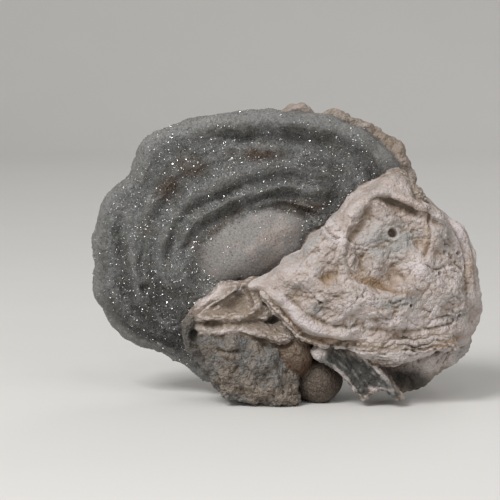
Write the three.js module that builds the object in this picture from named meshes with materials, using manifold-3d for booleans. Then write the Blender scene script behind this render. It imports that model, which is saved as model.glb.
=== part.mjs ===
// A chalcedony rose, about 78 mm across. A rippled blade of grey chalcedony curls over into a
// beige, crusted petal. A gnarled foot petal, thin folds, a smooth knob and a broken fin grow
// under them, and a terraced rind backs the blade. It grew as one stone, so it is one solid.
// Lengths are in millimetres. X runs to the viewer's right, Y away from the viewer and Z up.
// The forms are laid out from a point under the knob, and the finished stone is then moved so
// that the origin is under the middle of its box, on the surface that it stands on.
import * as THREE from 'three';
import Module from 'manifold-3d';

// The middle of the stone's box in the layout, as [x, y]
const MIDDLE = [0.2, 0.3];

// Each petal is a closed sheet with these values:
// outline - its rim as [x, z]
// heart - where its rings start, as [x, z]
// middle - the depth y of its middle surface at the heart, which leans by lean and has bends
// front, back - its half thickness towards the viewer and away from the viewer
// power - how square its section is: 2 is an oval, and more is flatter with a tighter rim
// around, rings - how many points its rings have, and how many rings its front and back have
// rough - the height and the length of its gentle hills
const BLADE = {
  outline: [
    [22.4, 47.1], [19.8, 50.9], [16.4, 53.9], [10.8, 56.5], [3.8, 57.9], [-3.6, 58.5],
    [-11.2, 57.9], [-18.2, 56.7], [-24.2, 54.9], [-28.6, 51.9], [-30.6, 48.5], [-31.6, 45.3],
    [-34.6, 42.9], [-37.2, 39.4], [-38.6, 34.5], [-39.2, 28.1], [-38.8, 21.7], [-37.0, 16.1],
    [-33.6, 12.1], [-29.2, 9.7], [-24.2, 7.9], [-19.2, 4.9], [-15.0, 2.6], [-9.0, 2.0],
    [1.0, 3.5], [11.0, 7.0], [21.0, 13.0], [28.6, 22.0], [30.6, 32.0], [27.0, 40.5],
  ],
  heart: [-6.8, 31.2],
  middle: 3.6,
  bends: [
    { along: [-1, 0], from: 10, rate: 0.0042 },
    { along: [0, -1], from: -24, rate: 0.006 },
    { along: [0, 1], from: 36, rate: -0.0035 },
  ],
  front: 3.6, back: 3.0, power: 3.2, around: 54, rings: [22, 3], rough: [0.2, 8],
};

const CRUST = {
  outline: [
    [-7.2, 23.9], [-4.8, 25.9], [-1.4, 28.0], [1.8, 30.2], [4.4, 32.9], [7.0, 35.5], [9.6, 38.3],
    [12.4, 40.8], [14.8, 43.0], [17.4, 44.4], [20.4, 45.8], [22.8, 46.0], [25.2, 43.4],
    [28.6, 40.2], [32.2, 37.4], [35.4, 34.4], [37.4, 31.0], [38.6, 26.3], [39.2, 21.0],
    [38.6, 16.6], [37.4, 13.6], [35.6, 12.1], [32.4, 11.3], [27.6, 10.7], [22.6, 11.1],
    [17.4, 11.7], [12.0, 12.6], [7.6, 12.5], [4.2, 13.2], [1.2, 15.2], [-1.4, 17.8],
    [-3.4, 20.9], [-5.0, 22.8],
  ],
  heart: [19.2, 31.0],
  middle: -3.9, lean: [0.16, 0.12],
  bends: [
    { along: [1, 0], from: 16, rate: 0.0072 },
    { along: [-1, 0], from: -16, rate: 0.0072 },
  ],
  front: 6.2, back: 11, power: 2.7, around: 44, rings: [14, 4], rough: [0.32, 6],
};

const FOOT = {
  outline: [
    [-19.4, 13.6], [-16.4, 14.4], [-13.8, 14.5], [-11.6, 15.4], [-9.4, 15.3], [-7.4, 14.3],
    [-5.4, 13.1], [-3.0, 11.7], [-1.0, 10.1], [0.8, 7.8], [2.2, 4.6], [2.7, 1.2], [0.6, -0.4],
    [-4.8, -0.5], [-7.8, 0.6], [-11.6, 1.6], [-13.8, 3.4], [-16.2, 6.6], [-17.8, 9.4],
    [-19.2, 11.4],
  ],
  heart: [-8.4, 7.8],
  middle: -6.0, lean: [0, -0.06],
  front: 3.4, back: 8, power: 3, around: 26, rings: [7, 2], rough: [0.38, 4.6],
};

const RIND = {
  outline: [
    [-11.6, 57.2], [-9.6, 58.3], [-7.4, 57.2], [-3.2, 57.5], [-0.4, 58.3], [1.8, 59.1],
    [4.0, 58.7], [6.4, 57.3], [9.0, 57.6], [11.6, 57.7], [14.0, 56.6], [16.6, 55.6],
    [18.8, 53.8], [21.4, 52.3], [23.6, 50.1], [25.2, 47.5], [26.2, 44.6], [26.8, 40.6],
    [28.4, 34.0], [29.0, 24.0], [23.0, 13.0], [12.0, 6.5], [0.0, 3.4], [-12.0, 4.4],
    [-22.0, 9.4], [-30.0, 15.0], [-34.6, 23.0], [-35.4, 33.0], [-31.0, 43.0], [-26.0, 50.6],
    [-18.4, 55.4],
  ],
  heart: [-3.0, 30.0],
  middle: 5.5, bends: BLADE.bends,
  front: 2.2, back: 2.3, power: 4.2, around: 42, rings: [2, 5], rough: [0.3, 8],
};

const KEEL = {
  outline: [
    [37.2, 12.6], [37.0, 10.2], [35.4, 8.2], [33.2, 6.9], [31.2, 5.9], [29.6, 4.7], [27.4, 3.3],
    [24.6, 2.2], [22.0, 1.8], [17.6, 3.6], [11.6, 7.8], [10.0, 13.0], [16.0, 17.0],
    [27.0, 19.0], [35.0, 17.0],
  ],
  heart: [24.6, 9.6],
  middle: 0.7, lean: [0.1, 0.2],
  front: 3.6, back: 6, power: 3.4, around: 22, rings: [6, 3], rough: [0.25, 6],
};

const LIP = {
  outline: [
    [9.4, 12.4], [13.6, 10.7], [15.8, 9.6], [18.6, 8.2], [22.0, 8.0], [25.2, 9.2], [28.6, 10.6],
    [34.0, 11.6], [30.0, 15.0], [20.0, 16.0],
  ],
  heart: [21.0, 12.0],
  middle: -5.4, lean: [0.1, 0.1],
  front: 2.4, back: 4, power: 3, around: 16, rings: [4, 2], rough: [0.25, 6],
};

const FIN = {
  outline: [
    [5.2, 11.4], [7.2, 12.7], [9.8, 13.5], [12.4, 13.2], [14.4, 11.4], [16.6, 9.0], [19.4, 6.9],
    [21.4, 4.5], [23.0, 1.9], [22.0, 1.2], [20.6, 2.5], [18.6, 3.2], [16.6, 2.6], [15.2, 1.2],
    [13.6, 2.8], [11.8, 5.2], [9.8, 7.0], [7.6, 8.4], [5.6, 9.4],
  ],
  heart: [13.2, 8.0],
  middle: -5.8, lean: [0, 0.12],
  front: 1.9, back: 4.6, power: 7, around: 26, rings: [6, 2], rough: [0.18, 3],
};

const TONGUE = {
  outline: [
    [19.2, 44.4], [20.2, 46.3], [22.8, 46.6], [24.6, 44.9], [27.0, 42.2], [28.6, 40.2],
    [26.0, 39.6], [22.2, 41.2],
  ],
  heart: [23.4, 43.2],
  middle: -2.2, lean: [0, 0.12],
  front: 2.0, back: 4, power: 3.4, around: 16, rings: [3, 2], rough: [0.2, 5],
};

const WEB = {
  outline: [
    [-19.8, 17.0], [-19.2, 18.8], [-17.2, 20.8], [-14.8, 22.8], [-12.0, 24.4], [-8.8, 24.9],
    [-4.0, 25.2], [1.0, 22.6], [4.6, 17.6], [5.0, 13.4], [2.4, 11.4], [-1.0, 10.8],
    [-5.0, 11.2], [-9.2, 12.2], [-12.4, 12.0], [-16.0, 11.8], [-18.6, 12.6], [-19.8, 14.8],
  ],
  heart: [-7.4, 17.2],
  middle: -3.4,
  front: 3.8, back: 4, power: 3.4, around: 34, rings: [11, 2], rough: [0.15, 5],
};

// The terraces on the back. Each is the rind's outline made smaller and moved by [x, z].
const TERRACES = [
  { share: 0.83, shift: [1.4, -1.6], middle: 7.3, ragged: 0.7, around: 30 },
  { share: 0.6, shift: [4.2, -3.4], middle: 9.2, ragged: 0.9, around: 24 },
  { share: 0.36, shift: [1.0, -2.0], middle: 11.2, ragged: 0.8, around: 18 },
];
const TERRACE_SECTION = { front: 3.2, back: 2.4, power: 2.5, rings: [2, 4], rough: [0.5, 7.5] };

// A ragged rim has waves of these counts round it
const RAGGED_WAVES = [7, 12];

// The blade's eye: a low oval dome that the ripples run round
const EYE = { long: 11.6, short: 6.2, turn: THREE.MathUtils.degToRad(27), height: 1.5 };

// Ripples from the eye, at 0, to the rim, at 1. Each is strongest in its own direction, in
// degrees from +X, and focus is the share of its height that it loses on the opposite side.
const RIPPLES = [
  { at: 0.05, width: 0.06, height: -0.9, towards: 125, focus: 0.9 },
  { at: 0.62, width: 0.06, height: 0.5, towards: 185, focus: 0.9 },
  { at: 0.9, width: 0.1, height: 1.7, towards: 66, focus: 0.75 },
];

// A line is a smooth path of this many steps, and fades over a share of it at each end
const PATH_STEPS = 24;
const TAPER = 0.14;

// Ridges, and grooves with negative heights, on the blade's face, along points [x, z]
const BLADE_LINES = [
  {
    points: [[-16.4, 51.4], [-12.2, 53.0], [-8.2, 52.8], [-4.2, 53.5], [-0.2, 53.0], [3.8, 52.4],
      [9.8, 51.2], [14.8, 48.2], [18.8, 44.4], [21.0, 41.0]],
    height: -2.2, width: 1.5,
  },
  {
    points: [[-25.0, 28.0], [-24.4, 33.2], [-22.8, 37.4], [-20.0, 40.2], [-15.4, 42.6],
      [-12.2, 44.2], [-8.2, 45.9], [-4.2, 46.9], [1.8, 47.3], [6.8, 46.3], [10.8, 43.5]],
    height: 0.8, width: 1.6,
  },
  {
    points: [[-20.4, 30.6], [-19.6, 34.0], [-16.6, 37.2], [-13.0, 39.2], [-10.4, 40.8],
      [-7.0, 42.1], [-3.6, 42.9], [0.8, 43.2], [6.0, 42.5], [9.0, 40.4]],
    height: 1.1, width: 1.15,
  },
  {
    points: [[-20.4, 26.4], [-19.8, 30.6], [-18.2, 33.4], [-15.6, 35.8], [-12.6, 37.4],
      [-10.0, 38.9], [-7.6, 40.2], [-4.2, 41.2], [0.8, 41.6], [6.0, 41.0]],
    height: -1.1, width: 1.0,
  },
  {
    points: [[-30.0, 44.0], [-31.4, 37.6], [-31.4, 31.0], [-30.4, 25.6], [-26.8, 18.5]],
    height: 0.5, width: 1.6,
  },
  {
    points: [[-31.6, 42.0], [-33.8, 34.0], [-33.6, 28.0], [-31.8, 22.4], [-28.4, 17.2],
      [-23.2, 13.0]],
    height: -0.6, width: 1.0,
  },
  {
    points: [[-37.6, 18.6], [-34.6, 14.9], [-30.2, 12.9], [-25.0, 10.9], [-20.0, 8.6]],
    height: -0.8, width: 1.0,
  },
];

// Swellings of the blade as [x, z, half width, height]: the eye's two lobes, and the field
const BLADE_LUMPS = [
  [-9.6, 29.6, 5.6, 0.7], [0.6, 34.2, 3.4, 1.1], [-27.2, 40.4, 1.6, 0.5], [-28.6, 24.2, 1.8, 0.5],
  [-23.6, 47.6, 2.2, 0.4], [-33.0, 19.6, 2.4, 0.4], [-3.0, 49.6, 2.0, 0.4], [-21.4, 24.0, 2.4, 0.4],
];

// The blade's lines wander aside by a reach, and surge by a share of their height, over lengths
const WANDER = { reach: 0.35, length: 11 };
const SURGE = { share: 0.3, length: 23 };

// Folds and crevices of the web. Its lumps are the pocket and the hole beside it.
const WEB_LINES = [
  {
    points: [[-21.0, 15.6], [-19.6, 18.0], [-17.6, 20.2], [-15.4, 22.2], [-13.0, 23.8],
      [-10.0, 24.5], [-7.4, 24.0]],
    height: 1.3, width: 1.0,
  },
  { points: [[-14.6, 20.4], [-12.6, 21.7], [-10.6, 22.8], [-8.4, 23.9]], height: 1.4, width: 0.8 },
  {
    points: [[-21.0, 17.6], [-17.6, 17.9], [-14.6, 17.9], [-11.2, 18.1], [-7.8, 18.5],
      [-5.8, 19.8], [-4.6, 22.0]],
    height: 1.7, width: 0.95,
  },
  {
    points: [[-19.2, 16.4], [-15.4, 16.5], [-12.4, 16.6], [-6.8, 16.9], [-3.4, 16.7], [-0.4, 17.0]],
    height: -1.9, width: 0.5,
  },
  {
    points: [[-19.6, 15.2], [-16.6, 15.0], [-14.0, 14.9], [-11.2, 15.5], [-7.8, 15.2],
      [-4.6, 14.5], [-1.2, 13.9], [3.6, 13.4]],
    height: 2.0, width: 1.35,
  },
];
const WEB_LUMPS = [
  [-9.0, 21.2, 2.0, -1.9], [-6.2, 20.0, 2.2, -1.4], [-11.4, 19.8, 1.4, -1.2], [-2.2, 17.3, 1.2, -2.6],
];

// All of it fades out towards the web's rim, between these shares of the way out
const WEB_FADE = [1.0, 0.8];

// The rind along the fin's upper edge, and the hollow in its broken face
const FIN_LINES = [
  {
    points: [[4.0, 10.2], [6.2, 11.6], [8.6, 12.6], [11.6, 12.7], [13.4, 11.6], [15.4, 9.4],
      [18.2, 7.0], [20.2, 4.9], [22.4, 2.0], [23.4, 0.6]],
    height: 1.1, width: 0.85,
  },
  { points: [[8.6, 10.4], [12.0, 8.8], [15.6, 6.2], [18.4, 4.6]], height: -0.5, width: 1.6 },
];

// Rolled bands on the crusted petal's face
const CRUST_LINES = [
  {
    points: [[-6.4, 23.8], [-2.2, 22.4], [0.6, 19.6], [3.4, 17.2], [7.6, 15.4], [14.0, 14.6]],
    height: 0.8, width: 0.95,
  },
  { points: [[15.6, 42.2], [19.0, 42.6], [22.6, 41.4], [27.0, 39.6]], height: 0.6, width: 0.8 },
];

// The lip falls back downwards. The keel's lower facet falls back below a line [x, z].
const LIP_SLOPE = { from: [7.8, 11.7], rise: 1.8, sunk: 1.2 };
const KEEL_EDGE = [[16.0, 8.4], [23.0, 7.2], [30.4, 5.0]];
const KEEL_FALL = { over: 3.2, depth: 2.2 };

// The basin in the crusted petal, the lip round the top of it and the shelf below it
const BASIN = { centre: [20.0, 32.4], radii: [7.8, 9.0], depth: 1.7, wall: [0.7, 1.12] };
const BASIN_LIP = { at: 1.16, width: 0.15, height: 1.2, from: [27, 38] };
const SHELF = { level: [25.2, 21.6], sag: 0.25, middle: 19, height: 1.3, fade: [1.0, 0.6] };

// Lumps on the crusted petal and on the foot petal, as [x, z, half width, height]
const CRUST_LUMPS = [
  [26.0, 28.4, 3.0, 1.5], [30.6, 35.0, 2.6, 1.0], [13.2, 37.6, 2.4, 0.9], [6.4, 28.6, 3.4, 0.8],
  [33.4, 24.0, 3.0, 0.8], [8.0, 20.4, 3.6, 0.8], [20.0, 16.8, 4.4, 0.8], [31.0, 16.0, 3.4, 0.8],
];
const FOOT_LUMPS = [
  [-10.4, 12.8, 2.6, 1.1], [-4.4, 9.6, 2.4, 0.9], [-13.6, 6.6, 2.6, 0.9], [-2.6, 3.4, 2.6, 1.0],
  [-8.0, 4.6, 2.2, 0.7], [-15.6, 10.6, 1.8, 0.6],
];

// Swept folds, as paths of [x, y, z], with half their width and half their height
const FOLDS = [
  {
    path: [[-18.6, -6.8, 18.6], [-19.9, -7.0, 16.6], [-20.0, -7.0, 13.6], [-18.8, -7.0, 10.8],
      [-17.0, -6.8, 8.4], [-15.4, -6.6, 5.6]],
    wide: 0.9, high: 1.7,
  },
  {
    path: [[-5.4, -7.6, 23.2], [-2.6, -8.4, 20.0], [0.6, -8.6, 16.6], [4.0, -8.4, 13.8],
      [8.6, -7.8, 12.4]],
    wide: 0.8, high: 1.5,
  },
  {
    path: [[17.8, -3.6, 43.2], [21.6, -5.0, 41.8], [25.0, -5.4, 40.0], [28.6, -4.8, 38.2],
      [31.6, -3.6, 36.6]],
    wide: 1.5, high: 2.4,
  },
];
const FOLD_SHAPE = { around: 6, rings: 8, blunt: 6, rough: [0.15, 3.5] };

// Smooth domes, as a centre and three half lengths
const KNOB = { centre: [6.4, -1.0, 4.2], radii: [4.9, 5.2, 4.65], around: 18, rings: 9, rough: [0.1, 6] };
const BUD = { centre: [1.0, -3.2, 9.6], radii: [3.2, 3.4, 3.9], around: 10, rings: 7, rough: [0.1, 5] };
const HEEL = { centre: [1.0, 9.0, 7.4], radii: [10.5, 4.6, 7.9], around: 16, rings: 7, rough: [0.45, 6.5] };

// Pits in the crust, as [x, z, half width]. Each is a long dome, sunk by rise below the face.
const PITS = [[20.9, 34.6, 1.0], [34.4, 17.8, 0.7], [34.2, 30.2, 0.7], [6.6, 21.4, 0.7]];
const PIT_SHAPE = { rise: 0.4, half: 2.6, around: 7, rings: 4, rough: [0, 1] };

// A block under the surface that the stone stands on
const FLOOR = { wide: 120, deep: 80, high: 20 };

const TURN = Math.PI * 2;
const GOLDEN_ANGLE = 2.39996;
const GOLDEN_SHARE = 0.618;

// A reach below this is a pole
const POLE = 1e-6;

// Waves in ten directions that follow the golden angle, for hills with no grid in them
const WAVES = Array.from({ length: 10 }, (_, i) => {
  const rise = 1 - (2 * i + 1) / 10;
  const level = Math.sqrt(1 - rise * rise);
  const turn = i * GOLDEN_ANGLE;
  return {
    along: [level * Math.cos(turn), level * Math.sin(turn), rise],
    pitch: 0.75 + 0.5 * ((i * GOLDEN_SHARE) % 1),
    phase: 1.3 * i * i,
  };
});

// Gentle hills of about one unit, whose wavelength is the given length
function hills(p, length) {
  let sum = 0;
  for (const { along, pitch, phase } of WAVES) {
    const way = along[0] * p.x + along[1] * p.y + along[2] * p.z;
    sum += Math.sin((way * pitch * TURN) / length + phase);
  }
  return sum / Math.sqrt(WAVES.length / 2);
}

// A bell of height 1 round zero
function bell(distance, width) {
  return Math.exp(-((distance / width) ** 2));
}

// 0 at low, 1 at high and smooth between, whichever of the two is larger
function step(low, high, value) {
  return THREE.MathUtils.smoothstep((value - low) / (high - low), 0, 1);
}

// A smooth curve through points
function smoothCurve(points, closed) {
  return new THREE.CatmullRomCurve3(points, closed, 'catmullrom', 0.5);
}

// Evenly spaced points along a smooth closed curve, anticlockwise for the viewer
function closedCurve(points, count) {
  const corners = points.map(([x, z]) => new THREE.Vector3(x, 0, z));
  const spaced = smoothCurve(corners, true).getSpacedPoints(count);
  spaced.pop();
  const turned = spaced.reduce((sum, p, i) => {
    const q = spaced[(i + 1) % count];
    return sum + p.x * q.z - q.x * p.z;
  }, 0);
  return turned > 0 ? spaced : spaced.reverse();
}

// A ring of ways smoothed over a third of its round, which the rings near the heart follow
function smoothed(ways) {
  const count = ways.length;
  const half = Math.round(count / 6);
  return ways.map((_, i) => {
    const sum = [0, 0, 0];
    for (let k = -half; k <= half; k++) {
      const weight = Math.cos((Math.PI * k) / (2 * half + 2));
      const [x, z] = ways[(i + k + count) % count];
      sum[0] += weight * x;
      sum[1] += weight * z;
      sum[2] += weight;
    }
    return [sum[0] / sum[2], sum[1] / sum[2]];
  });
}

// One side of a petal's section, from its pole to its rim, in evenly spaced steps. Each step has
// its reach, from 0 to 1, and its share of the half thickness, from 1 to 0.
function sectionSide(reach, half, power, steps) {
  const fine = 400;
  const points = Array.from({ length: fine + 1 }, (_, i) => {
    const angle = (Math.PI * i) / fine / 2;
    const out = Math.sin(angle) ** (2 / power);
    const thick = Math.cos(angle) ** (2 / power);
    return { out, thick, along: 0 };
  });
  for (let i = 1; i <= fine; i++) {
    const [before, here] = [points[i - 1], points[i]];
    const across = (here.out - before.out) * reach;
    here.along = before.along + Math.hypot(across, (before.thick - here.thick) * half);
  }
  points[fine].out = 1;
  points[fine].thick = 0;
  const total = points[fine].along;
  return Array.from({ length: steps + 1 }, (_, i) => {
    if (i === steps) return points[fine];
    return points.find((p) => p.along >= (total * i) / steps);
  });
}

// A closed mesh of rings between two poles: rows[0] and the last row are single points
function closedMesh(rows) {
  const around = rows[1].length;
  const last = rows.length - 1;
  const positions = rows.flat().flatMap((p) => [p.x, p.y, p.z]);
  const at = (row, i) => 1 + (row - 1) * around + (i % around);
  const end = 1 + (last - 1) * around;
  const index = [];
  for (let i = 0; i < around; i++) {
    index.push(0, at(1, i), at(1, i + 1));
    index.push(end, at(last - 1, i + 1), at(last - 1, i));
    for (let row = 1; row < last - 1; row++) {
      index.push(at(row, i), at(row + 1, i), at(row + 1, i + 1));
      index.push(at(row, i), at(row + 1, i + 1), at(row, i + 1));
    }
  }
  const geometry = new THREE.BufferGeometry();
  geometry.setAttribute('position', new THREE.Float32BufferAttribute(positions, 3));
  geometry.setIndex(index);
  return geometry;
}

// Moves each point of a closed mesh along its normal by hills of a height and a length
function roughen(geometry, [height, length]) {
  geometry.computeVertexNormals();
  const { position, normal } = geometry.attributes;
  const point = new THREE.Vector3();
  const out = new THREE.Vector3();
  for (let i = 0; i < position.count; i++) {
    point.fromBufferAttribute(position, i);
    out.fromBufferAttribute(normal, i);
    point.addScaledVector(out, height * hills(point, length));
    position.setXYZ(i, point.x, point.y, point.z);
  }
  return geometry;
}

const wasm = await Module();
wasm.setup();

// The solid inside a closed mesh, with its faces turned outwards
function solid(geometry) {
  const vertProperties = new Float32Array(geometry.attributes.position.array);
  const triVerts = new Uint32Array(geometry.index.array);
  const made = new wasm.Manifold(new wasm.Mesh({ numProp: 3, vertProperties, triVerts }));
  if (made.volume() > 0) return made;
  return new wasm.Manifold(new wasm.Mesh({ numProp: 3, vertProperties, triVerts: triVerts.reverse() }));
}

// The depth of a petal's middle surface
function sheet({ heart, middle, lean = [0, 0], bends = [] }, x, z) {
  const level = middle + lean[0] * (x - heart[0]) + lean[1] * (z - heart[1]);
  return bends.reduce((y, { along, from, rate }) => {
    const past = Math.max(0, along[0] * x + along[1] * z - from);
    return y + rate * past ** 2;
  }, level);
}

// A petal from its values. Its inner rings are round and its outer ones follow the outline.
// Relief raises its face by a height that depends on the place.
function petal(form, relief = () => 0) {
  const { outline, heart, front, back, power, around, rings, rough, ragged = 0 } = form;
  const [hx, hz] = heart;
  const edges = closedCurve(outline, around).map((p, i) => {
    const turn = (i / around) * TURN;
    const wave = RAGGED_WAVES.reduce((sum, count) => sum + Math.sin(turn * count + count), 0);
    const full = Math.hypot(p.x - hx, p.z - hz);
    const share = 1 + (ragged * wave) / full;
    return [(p.x - hx) * share, (p.z - hz) * share];
  });
  const round = smoothed(edges);
  const meanReach = edges.reduce((sum, [x, z]) => sum + Math.hypot(x, z), 0) / around;
  const faceSteps = sectionSide(meanReach, front, power, rings[0]);
  const backSteps = sectionSide(meanReach, back, power, rings[1]).reverse().slice(1);
  const rows = [
    ...faceSteps.map((s) => ({ ...s, side: -1 })),
    ...backSteps.map((s) => ({ ...s, side: 1 })),
  ].map(({ out, thick, side }) => {
    const pole = out < POLE;
    return (pole ? edges.slice(0, 1) : edges).map(([ex, ez], i) => {
      const dx = out * THREE.MathUtils.lerp(round[i][0], ex, out);
      const dz = out * THREE.MathUtils.lerp(round[i][1], ez, out);
      const [x, z] = pole ? heart : [hx + dx, hz + dz];
      const direction = Math.atan2(dz, dx);
      const place = { x, z, out, reach: Math.hypot(dx, dz), full: Math.hypot(ex, ez), direction };
      const half = side < 0 ? front + relief(place) : back;
      return new THREE.Vector3(x, sheet(form, x, z) + side * half * thick, z);
    });
  });
  return solid(roughen(closedMesh(rows), rough));
}

// A fold: an oval section carried along a smooth path, closed to a point at both ends
function fold({ path, wide, high }) {
  const { around, rings, blunt, rough } = FOLD_SHAPE;
  const curve = smoothCurve(path.map((p) => new THREE.Vector3(...p)), false);
  const towards = new THREE.Vector3(0, -1, 0);
  const rows = Array.from({ length: rings + 1 }, (_, row) => {
    const along = row / rings;
    const centre = curve.getPointAt(along);
    if (row === 0 || row === rings) return [centre];
    const side = curve.getTangentAt(along).cross(towards).normalize();
    const full = Math.sqrt(1 - (2 * along - 1) ** blunt);
    return Array.from({ length: around }, (_, i) => {
      const angle = (i / around) * TURN;
      return centre.clone()
        .addScaledVector(side, wide * full * Math.cos(angle))
        .addScaledVector(towards, high * full * Math.sin(angle));
    });
  });
  return solid(roughen(closedMesh(rows), rough));
}

// A dome: an ellipsoid with gentle hills on it
function dome({ centre: [cx, cy, cz], radii: [rx, ry, rz], around, rings, rough }) {
  const rows = Array.from({ length: rings + 1 }, (_, row) => {
    const drop = (row / rings) * Math.PI;
    const pole = row === 0 || row === rings;
    return Array.from({ length: pole ? 1 : around }, (_, i) => {
      const turn = (i / around) * TURN;
      return new THREE.Vector3(
        cx + rx * Math.sin(drop) * Math.cos(turn),
        cy - ry * Math.cos(drop),
        cz + rz * Math.sin(drop) * Math.sin(turn),
      );
    });
  });
  return solid(roughen(closedMesh(rows), rough));
}

// The height of round lumps at a place
function lumpsAt(lumps, x, z) {
  return lumps.reduce((sum, [cx, cz, half, height]) => {
    return sum + height * bell(Math.hypot(x - cx, z - cz), half);
  }, 0);
}

// Each line gets the smooth path through its points
for (const line of [BLADE_LINES, WEB_LINES, FIN_LINES, CRUST_LINES].flat()) {
  const points = line.points.map(([x, z]) => new THREE.Vector3(x, 0, z));
  line.path = smoothCurve(points, false).getSpacedPoints(PATH_STEPS);
}
const segment = new THREE.Line3();
const spot = new THREE.Vector3();

// The height of ridges and grooves at a place: each is a bell across its line
function linesAt(lines, x, z) {
  const place = new THREE.Vector3(x, 0, z);
  return lines.reduce((sum, { path, height, width }) => {
    let [nearest, along] = [Infinity, 0];
    for (let i = 1; i < path.length; i++) {
      const share = segment.set(path[i - 1], path[i]).closestPointToPointParameter(place, true);
      const distance = segment.at(share, spot).distanceTo(place);
      if (distance < nearest) [nearest, along] = [distance, (i - 1 + share) / (path.length - 1)];
    }
    return sum + height * step(0, TAPER, along) * step(1, 1 - TAPER, along) * bell(nearest, width);
  }, 0);
}

// The level z at x of a line through points [x, z], which goes on level beyond its ends
function levelAt(points, x) {
  const next = points.findIndex(([px]) => px > x);
  if (next === 0) return points[0][1];
  if (next < 0) return points[points.length - 1][1];
  const [[ax, az], [bx, bz]] = [points[next - 1], points[next]];
  return THREE.MathUtils.mapLinear(x, ax, bx, az, bz);
}

// The blade's face: the eye is a dome, and the ripples run between it, at 0, and the rim, at 1
function bladeRelief({ x, z, reach, full, direction }) {
  const turn = direction - EYE.turn;
  const oval = Math.hypot(EYE.short * Math.cos(turn), EYE.long * Math.sin(turn));
  const eye = (EYE.long * EYE.short) / oval;
  const at = reach > eye ? (reach - eye) / (full - eye) : 0;
  const domed = EYE.height * (1 - Math.min(1, reach / eye) ** 2);
  const rippled = RIPPLES.reduce((height, { at: crest, width, height: rise, towards, focus }) => {
    const facing = 0.5 + 0.5 * Math.cos(direction - THREE.MathUtils.degToRad(towards));
    return height + rise * (1 - focus + focus * facing) * bell(at - crest, width);
  }, domed);
  const wander = WANDER.reach * hills({ x, y: 0, z }, WANDER.length);
  const surge = 1 + SURGE.share * hills({ x, y: 0, z }, SURGE.length);
  return rippled + surge * linesAt(BLADE_LINES, x + wander, z + wander) + lumpsAt(BLADE_LUMPS, x, z);
}

function webRelief({ x, z, out }) {
  return (linesAt(WEB_LINES, x, z) + lumpsAt(WEB_LUMPS, x, z)) * step(...WEB_FADE, out);
}

function lipRelief({ z }) {
  return LIP_SLOPE.rise * step(...LIP_SLOPE.from, z) - LIP_SLOPE.sunk;
}

function keelRelief({ x, z }) {
  const { over, depth } = KEEL_FALL;
  return -depth * step(0, -over, z - levelAt(KEEL_EDGE, x));
}

function crustRelief({ x, z, out }) {
  const [[cx, cz], [rx, rz]] = [BASIN.centre, BASIN.radii];
  const ring = Math.hypot((x - cx) / rx, (z - cz) / rz);
  const floor = -BASIN.depth * (1 - step(...BASIN.wall, ring));
  const lip = BASIN_LIP.height * bell(ring - BASIN_LIP.at, BASIN_LIP.width) * step(...BASIN_LIP.from, z);
  const sagged = z - SHELF.sag * Math.abs(x - SHELF.middle);
  const shelf = SHELF.height * step(...SHELF.level, sagged) * step(...SHELF.fade, out);
  return floor + lip + shelf + lumpsAt(CRUST_LUMPS, x, z) + linesAt(CRUST_LINES, x, z);
}

// The terraces on the back of the rind
function terraces() {
  const [hx, hz] = RIND.heart;
  return TERRACES.map(({ share, shift, middle, ragged, around }) => {
    const heart = [hx + shift[0], hz + shift[1]];
    const outline = RIND.outline.map(([x, z]) => [heart[0] + (x - hx) * share, heart[1] + (z - hz) * share]);
    return petal({ ...TERRACE_SECTION, outline, heart, bends: RIND.bends, middle, ragged, around });
  });
}

function pit([x, z, half]) {
  const face = sheet(CRUST, x, z) - CRUST.front;
  return dome({ ...PIT_SHAPE, centre: [x, face + PIT_SHAPE.rise, z], radii: [half, PIT_SHAPE.half, half] });
}

// Everything below the surface that the stone stands on
function floorBlock() {
  const { wide, deep, high } = FLOOR;
  const corners = [-1, 1].flatMap((z) => [[-1, -1], [1, -1], [1, 1], [-1, 1]].map(([x, y]) => [
    (x * wide) / 2, (y * deep) / 2, z < 0 ? -high : 0,
  ]));
  const sides = [[0, 2, 1], [0, 3, 2], [4, 5, 6], [4, 6, 7], [0, 1, 5], [0, 5, 4], [1, 2, 6], [1, 6, 5],
    [2, 3, 7], [2, 7, 6], [3, 0, 4], [3, 4, 7]];
  const geometry = new THREE.BufferGeometry();
  geometry.setAttribute('position', new THREE.Float32BufferAttribute(corners.flat(), 3));
  geometry.setIndex(sides.flat());
  return solid(geometry);
}

// The outer shell of a union, so that no hollow is left sealed inside
function outerShell(joined) {
  const shells = joined.decompose();
  return shells.reduce((best, shell) => (shell.volume() > best.volume() ? shell : best));
}

function rose() {
  const grown = [
    petal(BLADE, bladeRelief),
    petal(CRUST, crustRelief),
    petal(FOOT, ({ x, z }) => lumpsAt(FOOT_LUMPS, x, z)),
    petal(WEB, webRelief),
    petal(LIP, lipRelief),
    petal(KEEL, keelRelief),
    petal(FIN, ({ x, z }) => linesAt(FIN_LINES, x, z)),
    petal(RIND),
    petal(TONGUE),
    ...terraces(),
    ...FOLDS.map(fold),
    ...[KNOB, BUD, HEEL].map(dome),
  ];
  const whole = outerShell(wasm.Manifold.union(grown));
  const pitted = PITS.reduce((stone, place) => stone.subtract(pit(place)), whole);
  return pitted.subtract(floorBlock()).translate(-MIDDLE[0], -MIDDLE[1], 0);
}

// A mesh of a finished solid
function mesh(name, finished, material) {
  const { vertProperties, triVerts } = finished.getMesh();
  const geometry = new THREE.BufferGeometry();
  geometry.setAttribute('position', new THREE.Float32BufferAttribute(vertProperties, 3));
  geometry.setIndex([...triVerts]);
  geometry.computeVertexNormals();
  const made = new THREE.Mesh(geometry, material);
  made.name = name;
  return made;
}

const chalcedony = new THREE.MeshStandardMaterial({ color: 0x9c948b, roughness: 0.7, metalness: 0 });
const group = new THREE.Group();
group.add(mesh('chalcedony_rose', rose(), chalcedony));

export default group;
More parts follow.
